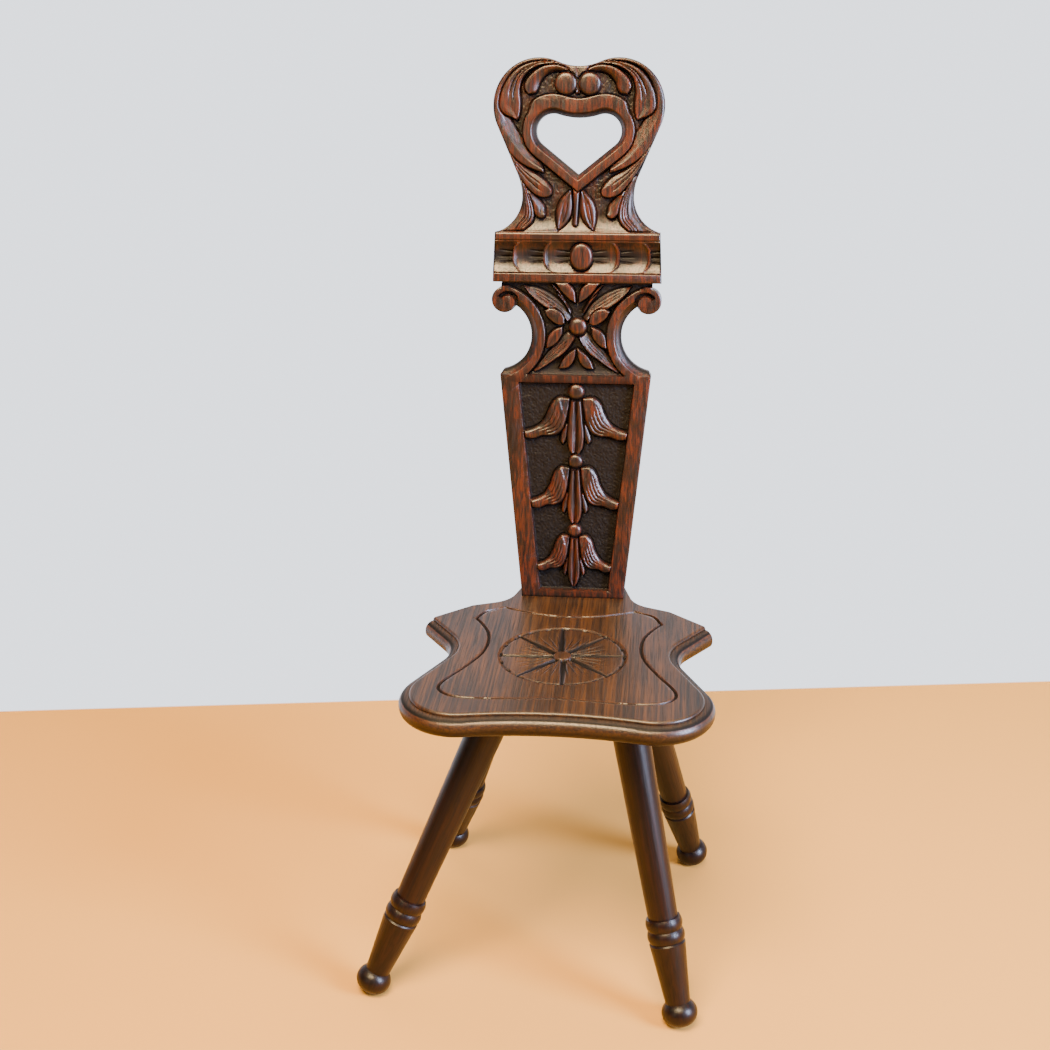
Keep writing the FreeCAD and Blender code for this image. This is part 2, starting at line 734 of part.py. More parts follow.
def leg_turning(corner):
    """Turned leg on its own axis: bun foot, tapered calf, double collar and tapering shaft."""
    foot, _, turn = leg_axis(corner)
    _, reach = leg_reach(corner)
    body = new_body(f"turning_{corner}")
    body.Placement = FreeCAD.Placement(foot, turn)
    core, bun = size("bun_core_radius"), size("bun_half_height")
    ankle_height = math.sqrt(bun.value ** 2 - (size("ankle_radius").value - core.value) ** 2)
    quirk, shaft = size("collar_quirk_radius"), size("shaft_foot_radius")
    collar = size("collar_station")
    waist = collar + size("lower_bead_length")
    shaft_foot = waist + size("upper_bead_length")
    shaft_top = reach + size("head_allowance")
    lower_round = bulge_radius(size("lower_bead_length"), size("lower_bead_radius") - quirk)
    upper_round = bulge_radius(size("upper_bead_length"), size("upper_bead_radius") - quirk)

    def point(radius, station):
        return (radius.value, station.value)

    calf = point(size("calf_radius"), size("calf_station"))
    ankle = (size("ankle_radius").value, ankle_height)
    lower_centre = point(size("lower_bead_radius") - lower_round, (collar + waist) * 0.5)
    upper_centre = point(size("upper_bead_radius") - upper_round, (waist + shaft_foot) * 0.5)
    half = Outline(body, f"profile_{corner}", "XZ_Plane")
    sole = half.line((0.0, -bun.value), (core.value, -bun.value))
    bun_arc = half.arc((core.value, -bun.value), ankle, (core.value, 0.0))
    calf_line = half.line(ankle, calf)
    quirk_line = half.line(calf, point(quirk, collar))
    lower_bead = half.arc(point(quirk, collar), point(quirk, waist), lower_centre)
    upper_bead = half.arc(point(quirk, waist), point(quirk, shaft_foot), upper_centre)
    step_line = half.line(point(quirk, shaft_foot), point(shaft, shaft_foot))
    shaft_line = half.line(point(shaft, shaft_foot), point(size("shaft_head_radius"), shaft_top))
    top_line = half.line(point(size("shaft_head_radius"), shaft_top), (0.0, shaft_top.value))
    half.line((0.0, shaft_top.value), (0.0, -bun.value))
    half.close()
    half.on_axis(sole, "start")
    half.rule("Horizontal", sole)
    half.place(sole, "end", across=core)
    half.on_axis(bun_arc, "centre", LEVEL)
    half.place(bun_arc, "centre", across=core)
    half.radius(bun_arc, bun)
    half.place(bun_arc, "end", across=size("ankle_radius"))
    half.place(calf_line, "end", size("calf_radius"), size("calf_station"))
    half.place(quirk_line, "end", quirk, collar)
    half.place(lower_bead, "end", quirk, waist)
    half.radius(lower_bead, lower_round)
    half.place(upper_bead, "end", quirk, shaft_foot)
    half.radius(upper_bead, upper_round)
    half.place(step_line, "end", shaft, shaft_foot)
    half.place(shaft_line, "end", size("shaft_head_radius"), shaft_top)
    half.place(top_line, "end", along=shaft_top)
    half.on_axis(top_line, "end")
    feature = body.newObject("PartDesign::Revolution", f"turned_{corner}")
    feature.Profile = half.sketch
    feature.ReferenceAxis = (half.sketch, ["V_Axis"])
    doc.recompute()
    return body


def leg_rod(name, corner, radius, past):
    """Round bar along a leg's axis, from inside its shaft to a distance past the seat's underside."""
    _, head, turn = leg_axis(corner)
    start = size("head_allowance")
    base = head - turn.multVec(Vector(0, 0, start.value))
    return rod(name, radius, start + past, FreeCAD.Placement(base, turn))


def fox_wedge(name, corner, width):
    """Tapered wedge in the end of a leg's tenon, thick end outwards."""
    _, head, turn = leg_axis(corner)
    along = turn.multVec(Vector(0, 0, 1))
    sideways = turn.multVec(Vector(1, 0, 0))
    wedge = doc.addObject("Part::Wedge", name)
    wedge.setExpression("Ymax", size("wedge_length").text)
    half_width = width * 0.5
    thin, thick = size("wedge_thin_end") * 0.5, size("wedge_thick_end") * 0.5
    for edge, length in (("X", half_width), ("X2", half_width), ("Z", thin), ("Z2", thick)):
        wedge.setExpression(edge + "min", (-length).text)
        wedge.setExpression(edge + "max", length.text)
    start = size("leg_tenon_length").value - size("wedge_length").value
    turned = FreeCAD.Rotation(sideways, along, sideways.cross(along), "YXZ")
    wedge.Placement = FreeCAD.Placement(head + along * start, turned)
    return wedge


def leg(corner):
    """One leg: turned, scribed to the seat, worn flat on the floor, with a slotted tenon."""
    foot, head, _ = leg_axis(corner)
    width = margin * 2
    above = box(f"scribe_{corner}", width, width, margin,
                at(head.x - margin.value, head.y - margin.value, head.z))
    below = box(f"floor_{corner}", width, width, margin,
                at(foot.x - margin.value, foot.y - margin.value, -margin.value))
    scribed = combine("Cut", f"scribed_{corner}", leg_turning(corner), above)
    standing = combine("Cut", f"standing_{corner}", scribed, below)
    tenon = leg_rod(f"tenon_{corner}", corner, size("leg_tenon_radius"), size("leg_tenon_length"))
    tenoned = combine("Fuse", f"tenoned_{corner}", standing, tenon)
    kerf = fox_wedge(f"kerf_{corner}", corner, (size("leg_tenon_radius") + size("socket_gap")) * 2)
    return combine("Cut", f"leg_{corner}", tenoned, kerf)


def dowel(name, place, gap):
    """Dowel across the joint of the seat boards, or its hole when it has a gap."""
    length = size("dowel_length") + gap * 2
    middle = underside.value + size("seat_thickness").value / 2
    along_x = FreeCAD.Rotation(Vector(0, 1, 0), 90)
    start = -size("joint_offset").value - length.value / 2
    return rod(name, size("dowel_diameter") * 0.5 + gap, length,
               at(start, depth(f"dowel_{place}").value, middle, along_x))


def seat_boards():
    """The two seat boards, bored for the dowels, the legs and the back."""
    gap = size("dowel_gap")
    bores = [dowel(f"dowel_hole_{place}", place, gap) for place in DOWELS]
    radius = size("leg_tenon_radius") + size("socket_gap")
    past = size("leg_tenon_length") + size("socket_end_gap")
    bores += [leg_rod(f"socket_{corner}", corner, radius, past) for corner in CORNERS]
    bores.append(tenon_block("mortise", size("mortise_gap"), -margin, margin))
    tools = doc.addObject("Part::Compound", "seat_bores")
    tools.Links = bores
    bored = combine("Cut", "seat_bored", seat_blank(), tools)
    width = size("seat_half_width") * 2
    length = size("seat_depth") + margin * 2
    corner = at(-size("joint_offset").value - width.value, -margin.value, underside.value - margin.value)
    left_side = box("left_of_joint", width, length, size("seat_thickness") + margin * 2, corner)
    wide = combine("Cut", "seat_board_wide", bored, left_side)
    narrow = combine("Common", "seat_board_narrow", bored, left_side)
    return [wide, narrow]


pieces = seat_boards()
pieces += [dowel(f"seat_dowel_{place}", place, NOTHING) for place in DOWELS]
pieces.append(back_board())
pieces.append(key_profile("back_key", size("key_width"), NOTHING))
pieces += [leg(corner) for corner in CORNERS]
pieces += [fox_wedge(f"leg_wedge_{corner}", corner, size("wedge_width")) for corner in CORNERS]
doc.recompute()

# The origin is on the floor, under the middle of the whole chair's box
whole = FreeCAD.BoundBox()
for piece in pieces:
    whole.add(piece.Shape.optimalBoundingBox(False, False))
to_origin = Vector(-whole.Center.x, -whole.Center.y, 0)
for piece in pieces:
    piece.Placement = FreeCAD.Placement(to_origin, FreeCAD.Rotation()) * piece.Placement
doc.recompute()

for item in doc.Objects:
    if "Invalid" in item.State or "Error" in item.State:
        raise RuntimeError(f"{item.Name} failed: {item.State}")
os.makedirs("parts", exist_ok=True)
for piece in pieces:
    if piece.Shape.isNull() or not piece.Shape.isValid():
        raise RuntimeError(f"{piece.Label} has no valid shape")
    piece.Shape.exportStep(f"parts/{piece.Label}.step")
    print(piece.Label, len(piece.Shape.Solids), round(piece.Shape.Volume))
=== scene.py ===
import math

import bpy
import numpy as np
from mathutils import Matrix, Vector
from mathutils.geometry import delaunay_2d_cdt


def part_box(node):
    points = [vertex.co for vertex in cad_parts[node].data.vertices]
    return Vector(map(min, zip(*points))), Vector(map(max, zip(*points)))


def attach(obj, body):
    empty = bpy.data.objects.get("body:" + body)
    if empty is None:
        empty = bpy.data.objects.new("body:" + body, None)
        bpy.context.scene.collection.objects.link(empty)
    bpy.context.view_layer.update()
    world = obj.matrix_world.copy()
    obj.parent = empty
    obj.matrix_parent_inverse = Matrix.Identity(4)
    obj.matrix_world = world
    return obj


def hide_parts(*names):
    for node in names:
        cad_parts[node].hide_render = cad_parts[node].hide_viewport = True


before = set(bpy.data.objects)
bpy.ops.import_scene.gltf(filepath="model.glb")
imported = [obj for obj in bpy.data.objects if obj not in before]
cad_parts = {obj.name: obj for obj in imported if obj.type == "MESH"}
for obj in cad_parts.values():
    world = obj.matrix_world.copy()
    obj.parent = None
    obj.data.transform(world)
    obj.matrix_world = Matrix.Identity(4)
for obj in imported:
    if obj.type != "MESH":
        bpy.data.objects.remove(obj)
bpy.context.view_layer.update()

bl_info = {
    "name": "Carved oak spinning chair",
    "version": (1, 0, 0),
    "blender": (4, 5, 0),
    "location": "View3D > Sidebar > Chair",
    "description": "Carves and finishes a small oak chair around its packed boards and legs",
    "category": "Object",
}

MM = 0.001
LEGS = [name for name in sorted(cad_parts) if name.startswith("leg_") and "wedge" not in name]
HIDDEN_JOINTS = [name for name in sorted(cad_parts)
                 if name == "back_key" or "wedge" in name or "dowel" in name]

SEAT_LOW, SEAT_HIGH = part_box("seat_board_wide")
BACK_LOW, BACK_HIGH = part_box("back_board")
SEAT_TOP = SEAT_HIGH.z
MEDIAN = (BACK_LOW.x + BACK_HIGH.x) / 2

# Heights up the back board, in mm from the seat.
PANEL_SILL = 9.1
PANEL_LINTEL = 252.0
PANEL_HEAD = 261.0
FRIEZE_FOOT = 364.0
FRIEZE_HEAD = 419.0

# Half widths of the sunk panel at its sill and at its lintel, in mm.
SILL_HALF = 39.9
LINTEL_HALF = 65.2

# Depth of the marks that the gouge leaves on a sunk ground, in mm.
GOUGE_MARK = 0.7

# A carved piece is thinned to this many triangles.
MOST_FACES = 190000


def linear(code):
    """An sRGB hex colour as linear red, green and blue."""
    channels = [int(code[place:place + 2], 16) / 255 for place in (1, 3, 5)]
    return [c / 12.92 if c <= 0.04045 else ((c + 0.055) / 1.055) ** 2.4 for c in channels]


class BackCarving(bpy.types.PropertyGroup):
    rake: bpy.props.FloatProperty(
        name="Rake", description="Lean of the back from upright",
        default=math.radians(6.92), subtype="ANGLE")
    setback: bpy.props.FloatProperty(
        name="Setback", description="From the seat's rear end forward to the foot of the carved face",
        default=48.6 * MM, unit="LENGTH", subtype="DISTANCE")
    ground: bpy.props.FloatProperty(
        name="Ground", description="Depth of the sunk ground between the leaves",
        default=7.0 * MM, unit="LENGTH", subtype="DISTANCE")
    grid: bpy.props.FloatProperty(
        name="Grid", description="Spacing of the mesh points on carved leaves, before flats are thinned",
        default=0.8 * MM, unit="LENGTH", subtype="DISTANCE")


class SeatCarving(bpy.types.PropertyGroup):
    rosette_setback: bpy.props.FloatProperty(
        name="Rosette setback", description="From the seat's front edge to the middle of the rosette",
        default=151.86 * MM, unit="LENGTH", subtype="DISTANCE")
    rosette_radius: bpy.props.FloatProperty(
        name="Rosette radius", description="Middle to rim of the rosette",
        default=68.6 * MM, unit="LENGTH", subtype="DISTANCE")
    petals: bpy.props.IntProperty(
        name="Petals", description="Petals of the rosette", default=8, min=3, max=24)
    groove_width: bpy.props.FloatProperty(
        name="Groove width", description="Width of the line cut round the seat",
        default=3.8 * MM, unit="LENGTH", subtype="DISTANCE")
    groove_depth: bpy.props.FloatProperty(
        name="Groove depth", description="Depth of the line cut round the seat",
        default=2.4 * MM, unit="LENGTH", subtype="DISTANCE")
    grid: bpy.props.FloatProperty(
        name="Grid", description="Spacing of the mesh points in the cut lines",
        default=0.8 * MM, unit="LENGTH", subtype="DISTANCE")


class OakFinish(bpy.types.PropertyGroup):
    # On carved pieces dark is also the painted shade in hollows and on faces that look down.
    dark: bpy.props.FloatVectorProperty(
        name="Dark", description="Stain in the pores, hollows and dark streaks",
        default=linear("#070403"), subtype="COLOR", min=0, max=1)
    brown: bpy.props.FloatVectorProperty(
        name="Brown", description="Stained oak of the back between the streaks",
        default=linear("#190b07"), subtype="COLOR", min=0, max=1)
    russet: bpy.props.FloatVectorProperty(
        name="Russet", description="Lighter streaks of the back's oak",
        default=linear("#421a0b"), subtype="COLOR", min=0, max=1)
    seat_brown: bpy.props.FloatVectorProperty(
        name="Seat brown", description="Oak of the seat between the streaks, rubbed paler by use",
        default=linear("#28170a"), subtype="COLOR", min=0, max=1)
    seat_russet: bpy.props.FloatVectorProperty(
        name="Seat russet", description="Lighter streaks of the seat's oak",
        default=linear("#43270e"), subtype="COLOR", min=0, max=1)
    leg_brown: bpy.props.FloatVectorProperty(
        name="Leg brown", description="Oak of the legs between the streaks",
        default=linear("#0f0605"), subtype="COLOR", min=0, max=1)
    leg_russet: bpy.props.FloatVectorProperty(
        name="Leg russet", description="Lighter streaks of the legs' oak",
        default=linear("#1c0b07"), subtype="COLOR", min=0, max=1)
    worn: bpy.props.FloatVectorProperty(
        name="Worn", description="Oak where hands have rubbed the stain away",
        default=linear("#703412"), subtype="COLOR", min=0, max=1)
    dust: bpy.props.FloatVectorProperty(
        name="Dust", description="Old wax and dust on the sunk grounds",
        default=linear("#0e0a09"), subtype="COLOR", min=0, max=1)
    polish: bpy.props.FloatProperty(
        name="Polish", description="Roughness of the waxed surface",
        default=0.35, min=0, max=1, subtype="FACTOR")


class Studio(bpy.types.PropertyGroup):
    floor: bpy.props.FloatVectorProperty(
        name="Floor", description="Colour of the floor under the chair",
        default=linear("#c8924a"), subtype="COLOR", min=0, max=1)
    wall: bpy.props.FloatVectorProperty(
        name="Wall", description="Colour of the floor and the light behind the chair",
        default=linear("#d6dbe4"), subtype="COLOR", min=0, max=1)
    glow: bpy.props.FloatProperty(
        name="Glow", description="Strength of the pale light behind the chair", default=2.9, min=0)
    floor_depth: bpy.props.FloatProperty(
        name="Floor depth", description="From the chair's middle to where the pale ground begins",
        default=532 * MM, unit="LENGTH", subtype="DISTANCE")
    floor_turn: bpy.props.FloatProperty(
        name="Floor turn", description="Turn of the pale ground's edge against the chair",
        default=math.radians(8.35), subtype="ANGLE")
    lens: bpy.props.FloatProperty(
        name="Lens", description="Focal length on a 36 mm square picture",
        default=51.37, unit="CAMERA")
    stand: bpy.props.FloatVectorProperty(
        name="Stand", description="Camera place from the rosette's middle on the floor",
        default=(109.44 * MM, -1444.76 * MM, 1067.41 * MM), subtype="TRANSLATION", unit="LENGTH")
    yaw: bpy.props.FloatProperty(
        name="Yaw", description="Turn of the camera from straight ahead, to the left",
        default=math.radians(5.88), subtype="ANGLE")
    pitch: bpy.props.FloatProperty(
        name="Pitch", description="Tilt of the camera below level",
        default=math.radians(21.31), subtype="ANGLE")
    roll: bpy.props.FloatProperty(
        name="Roll", description="Turn of the camera about its own line of sight",
        default=math.radians(-0.48), subtype="ANGLE")


class ChairSettings(bpy.types.PropertyGroup):
    back: bpy.props.PointerProperty(type=BackCarving)
    seat: bpy.props.PointerProperty(type=SeatCarving)
    oak: bpy.props.PointerProperty(type=OakFinish)
    studio: bpy.props.PointerProperty(type=Studio)


def smooth_path(knots, steps=10):
    """Points on a smooth curve through the knots."""
    knots = np.array(knots, float)
    padded = np.vstack([2 * knots[0] - knots[1], knots, 2 * knots[-1] - knots[-2]])
    share = np.linspace(0, 1, steps, endpoint=False)[:, None]
    runs = []
    for before, start, end, after in zip(padded, padded[1:], padded[2:], padded[3:]):
        runs.append(0.5 * (2 * start + (end - before) * share
                           + (2 * before - 5 * start + 4 * end - after) * share ** 2
                           + (3 * start - before - 3 * end + after) * share ** 3))
    return np.vstack(runs + [knots[-1:]])


def along(points, path):
    """Share of the path passed and signed distance from it, for each point."""
    start = path[:-1]
    step = path[1:] - start
    length = np.hypot(*step.T)
    passed = np.concatenate([[0], np.cumsum(length)])
    gap = points[:, None] - start[None]
    part = np.clip((gap * step).sum(-1) / length ** 2, 0, 1)
    gap = gap - part[..., None] * step
    square = (gap ** 2).sum(-1)
    best = square.argmin(1)
    row = np.arange(len(points))
    share = (passed[best] + part[row, best] * length[best]) / passed[-1]
    side = np.sign(step[best, 0] * gap[row, best, 1] - step[best, 1] * gap[row, best, 0])
    return share, side * np.sqrt(square[row, best])


def loop_distance(points, loop, limit=24.0):
    """Distance of each point from a closed line, up to a limit."""
    found = np.full(len(points), limit)
    for start, end in zip(loop, np.roll(loop, -1, axis=0)):
        low = np.minimum(start, end) - limit
        high = np.maximum(start, end) + limit
        near = np.flatnonzero((points[:, 0] > low[0]) & (points[:, 0] < high[0])
                              & (points[:, 1] > low[1]) & (points[:, 1] < high[1]))
        gap = points[near] - start
        step = end - start
        part = np.clip(gap @ step / max(step @ step, 1e-12), 0, 1)
        found[near] = np.minimum(found[near], np.hypot(*(gap - part[:, None] * step).T))
    return found


def within(points, loops):
    """True for points inside an odd number of the closed lines."""
    odd = np.zeros(len(points), bool)
    for loop in loops:
        for (x0, y0), (x1, y1) in zip(loop, np.roll(loop, -1, axis=0)):
            if y0 != y1:
                spans = (points[:, 1] >= min(y0, y1)) & (points[:, 1] < max(y0, y1))
                odd ^= spans & (points[:, 0] < x0 + (points[:, 1] - y0) * (x1 - x0) / (y1 - y0))
    return odd


def run_length(path):
    """How far along a path each of its points lies."""
    return np.concatenate([[0], np.cumsum(np.hypot(*np.diff(path, axis=0).T))])


def tool_marks(points, pitch, seed):
    """Soft hollows of a hand tool, about one pitch across, from 0 to 1."""
    size = 128
    table = np.random.default_rng(seed).random((size, size))
    cell = np.floor(points / pitch).astype(int)
    part = points / pitch - cell
    part = part * part * (3 - 2 * part)
    west, south = (cell % size).T
    east, north = ((cell + 1) % size).T
    low = table[west, south] * (1 - part[:, 0]) + table[east, south] * part[:, 0]
    high = table[west, north] * (1 - part[:, 0]) + table[east, north] * part[:, 0]
    return low * (1 - part[:, 1]) + high * part[:, 1]


def ramp(value, low, high):
    """Smooth step from 0 at low to 1 at high."""
    share = np.clip((value - low) / (high - low), 0, 1)
    return share * share * (3 - 2 * share)


class Relief:
    """Carved heights over a flat face, at a list of points, all in mm."""

    # Curves get this many points between two knots.
    STEPS = 6
    # Widths of the line cut round a leaf or a stem and of the one round a boss.
    LINE = 1.3
    BOSS_LINE = 1.6
    # A cut round a shape goes this much below the ground at most.
    UNDERCUT = 0.8
    # Half the width of a vein, and the share of its leaf over which it fades in and out.
    VEIN = 0.9
    FADE = 0.12
    # A leaf is rounded off this far from its edge. Distances past the reach don't matter.
    ROUND = 1.2
    REACH = 1.5

    def __init__(self, points, ground):
        self.points = points
        self.ground = ground
        self.height = np.full(len(points), -ground)

    def nearby(self, path, reach):
        """Numbers of the points in the box round a path, widened by reach."""
        return np.flatnonzero(np.all((self.points > path.min(0) - reach)
                                     & (self.points < path.max(0) + reach), axis=1))

    def score(self, near, beyond, depth=1.8):
        """A line cut round a shape, at points with their distance beyond its edge."""
        around = (beyond > 0) & (beyond < self.LINE)
        edge = near[around]
        cut = depth * (1 - beyond[around] / self.LINE)
        self.height[edge] = np.maximum(self.height[edge] - cut, -self.ground - self.UNDERCUT)

    def leaf(self, first, second, section, rise=((0, 0), (1, 0)), veins=(), cut=1.2, soft=0.9):
        """A leaf between two edge curves, laid over what is there.

        The section gives its height from the first edge, 0, to the second, 1, and the rise adds to that
        from root to tip. A vein is a line cut at one place across, between two places along.
        """
        one = smooth_path(first, self.STEPS)
        two = smooth_path(second, self.STEPS)
        outline = np.vstack([one, two[::-1]])
        near = self.nearby(outline, self.LINE)
        inside = within(self.points[near], [outline])
        edge = loop_distance(self.points[near], outline, self.REACH)
        self.score(near, np.where(inside, -edge, edge))
        near, edge = near[inside], edge[inside]
        passed_one, gap_one = along(self.points[near], one)
        passed_two, gap_two = along(self.points[near], two)
        wide = np.abs(gap_one) + np.abs(gap_two) + 1e-6
        across = np.abs(gap_one) / wide
        passed = passed_one + across * (passed_two - passed_one)
        value = np.interp(across, *zip(*section)) + np.interp(passed, *zip(*rise))
        for place, start, end in veins:
            line = np.clip(1 - np.abs(across - place) * wide / self.VEIN, 0, 1)
            fade_in = ramp(passed, start, start + self.FADE)
            fade_out = 1 - ramp(passed, end - self.FADE, end)
            value -= cut * line * fade_in * fade_out
        self.height[near] = value - soft * (1 - ramp(edge, 0.0, self.ROUND))

    def strand(self, knots, widths, top=-0.2, foot=-4.0, crown=2.4):
        """A rounded stem along a curve, flatter with a high crown."""
        line = smooth_path(np.column_stack([knots, widths]), self.STEPS)
        path, half = line[:, :2], line[:, 2]
        near = self.nearby(path, half.max() + self.LINE)
        share, offset = along(self.points[near], path)
        passed = run_length(path)
        width = np.interp(share, passed / passed[-1], half)
        self.score(near, np.abs(offset) - width)
        inside = np.abs(offset) < width
        across = np.abs(offset / width)[inside]
        self.height[near[inside]] = foot + (top - foot) * np.sqrt(1 - across ** crown)

    def pair(self, shape, middle, *curves, **section):
        """A leaf or stem and its mirror image about an upright middle line."""
        for hand in (1, -1):
            mirrored = [[(middle + hand * x, s) for x, s in curve] if np.ndim(curve) == 2 else curve
                        for curve in curves]
            shape(*mirrored, **section)

    def upright_leaf(self, middle, side, **section):
        """A leaf that is alike on both sides of an upright middle line."""
        self.leaf([(middle - x, s) for x, s in side], [(middle + x, s) for x, s in side], **section)

    def ball(self, centre, radius, top=0.4, foot=-5.0, squat=1.0, crown=2.0):
        """A round boss, squat times as wide as it is high, flatter with a high crown."""
        gap = (self.points - np.array(centre)) / np.array([squat, 1.0])
        reach = np.hypot(*gap.T) / radius
        line = (reach > 1) & (reach < 1 + self.BOSS_LINE / radius)
        self.height[line] = np.minimum(self.height[line], foot)
        inside = reach <= 1
        self.height[inside] = foot + (top - foot) * np.sqrt(1 - reach[inside] ** crown)


def crest_side_leaves(relief, middle):
    """Leaves that turn in from the rim, one below the other, and a fluted one to the bottom corner."""
    relief.pair(
        relief.leaf, middle,
        [(66, 488), (59, 471), (53, 457), (48.5, 446), (45, 438.5), (40, 434.5), (35, 435.5), (33.5, 439)],
        [(68, 492), (61, 478), (53.5, 467), (46.5, 460.5), (40, 454), (35, 447.5), (33.5, 439)],
        section=((0, 0), (0.45, 0.2), (0.58, -0.6), (1, -3.6)))
    relief.pair(
        relief.leaf, middle,
        [(60, 484), (54, 466), (48.5, 451), (46, 438), (49, 429), (57, 421.5)],
        [(68, 478), (63, 462), (63, 449), (67.5, 436), (77, 426), (94, 419)],
        section=((0, -0.8), (0.1, 0.3), (0.38, 0.1), (0.52, -1.2), (0.8, -3.4), (1, -3.8)),
        rise=((0, -1.2), (0.5, -0.8), (1, 0.9)),
        veins=((0.2, 0.15, 1.1), (0.36, 0.2, 1.1), (0.52, 0.2, 1.0)))
    relief.pair(
        relief.leaf, middle,
        [(90, 530), (81, 511), (71, 493), (61, 477), (52.5, 466), (45, 459.5), (36, 456.5), (29, 458),
         (26.5, 462)],
        [(88, 537), (80, 518), (71, 503), (60, 492), (50, 485), (40.5, 480), (33, 474), (27.5, 467),
         (26.5, 462)],
        section=((0, 0), (0.3, 0.1), (0.72, 0.2), (1, -1.8)),
        veins=((0.36, 0.3, 0.9), (0.64, 0.4, 0.86)))
    relief.pair(
        relief.leaf, middle,
        [(97, 560), (95, 540), (87, 523), (76, 507), (64.5, 495.5), (51.5, 488), (35.5, 482.5)],
        [(80, 560), (73, 541), (63, 525), (53, 511), (45.5, 500.5), (37, 492)],
        section=((0, -0.3), (0.1, 0.1), (0.42, 0.2), (0.5, -0.3), (0.75, -2.7), (1, -4.6)))


def crest_top_leaves(relief, middle):
    """Leaves that spring from the dip and fold over the shoulders, with a stem between two balls."""
    relief.pair(
        relief.leaf, middle,
        [(10, 593), (30, 596.5), (47, 592.5), (58, 583), (62, 570), (61, 556), (62.5, 543), (65, 538.5)],
        [(10, 596), (34, 600), (56, 597), (71, 587.5), (81.5, 572), (85, 558), (84, 549.5), (78, 543.5),
         (65, 538.5)],
        section=((0, -1.6), (0.08, -0.2), (0.3, 0.3), (0.5, -0.3), (0.75, 0.6), (0.92, 0), (1, -1.8)),
        rise=((0, 0), (0.6, 0), (1, -0.6)), veins=((0.34, 0.3, 0.8), (0.56, 0.36, 0.76)), cut=1.5)
    relief.pair(
        relief.leaf, middle,
        [(7, 584), (11, 591.5), (22, 596), (36, 595), (48, 588.5), (56.5, 579), (57.5, 571), (53, 565)],
        [(11, 583), (16, 588), (25, 589), (34, 585), (40, 578), (42.5, 571), (46, 566), (53, 565)],
        section=((0, -0.8), (0.12, 0.4), (0.35, 0.5), (0.65, -0.5), (1, -2.8)))
    relief.upright_leaf(
        middle, [(13, 596), (7.5, 587), (3.5, 577), (2.2, 566)],
        section=((0, -0.2), (0.35, -1.2), (0.5, -2.0), (0.65, -1.2), (1, -0.2)),
        rise=((0, -2), (0.5, 0), (1, -1.2)))
    for hand in (-1, 1):
        relief.ball((middle + hand * 13.0, 576.4), 12.4, top=-0.6, crown=5)


def heart_band(relief, heart):
    """A flat band round the heart, wider at its head, hollowed down to the hand-hold."""
    head = ramp(relief.points[:, 1], 545, 562)
    reach = 14.4 + 6.0 * head
    lip = 5.5 + 3.0 * head
    band = heart < reach
    relief.height[band] = -0.9 * ramp(heart - reach, -1.2, 0.0)[band]
    relief.score(np.arange(len(heart)), heart - reach, depth=3.0)
    hollow = heart < lip
    relief.height[hollow] = (-7.5 * (1 - heart / lip) ** 1.3)[hollow]


def carve_crest(relief, rim, heart):
    """Scrolling leaves round the heart."""
    points = relief.points
    up = points[:, 1]
    middle = -1.5
    # The ground keeps the marks of the gouge and rises to the frieze.
    marks = GOUGE_MARK * tool_marks(points, 2.0, 3) * ramp(up, 424, 440)
    relief.height += marks + 5.2 * (1 - ramp(up, 418, 438))
    crest_side_leaves(relief, middle)
    # The rim runs on over the shoulder to the dip at the top.
    wide = 9.5 - 5.5 * ramp(up, 560, 598)
    blend = ramp(up, 534, 552) * (rim < wide)
    relief.height += blend * (0.1 - 1.3 * (2 * rim / wide - 1) ** 2 - relief.height)
    crest_top_leaves(relief, middle)
    # A stem with two small leaves hangs from the heart's point.
    relief.pair(
        relief.leaf, middle,
        [(5, 464), (4, 448), (6, 436), (12, 427), (19.5, 421)],
        [(8, 464), (17, 455), (21.5, 444), (22, 432), (19.5, 421)],
        section=((0, -2.2), (0.25, -0.6), (0.5, -1.5), (0.75, -0.4), (1, -2)),
        veins=((0.38, 0.2, 0.9), (0.62, 0.2, 0.9)))
    relief.strand([(middle, 470), (middle, 445), (middle - 0.8, 428)], (4.2, 2.8, 2.4))
    heart_band(relief, heart)


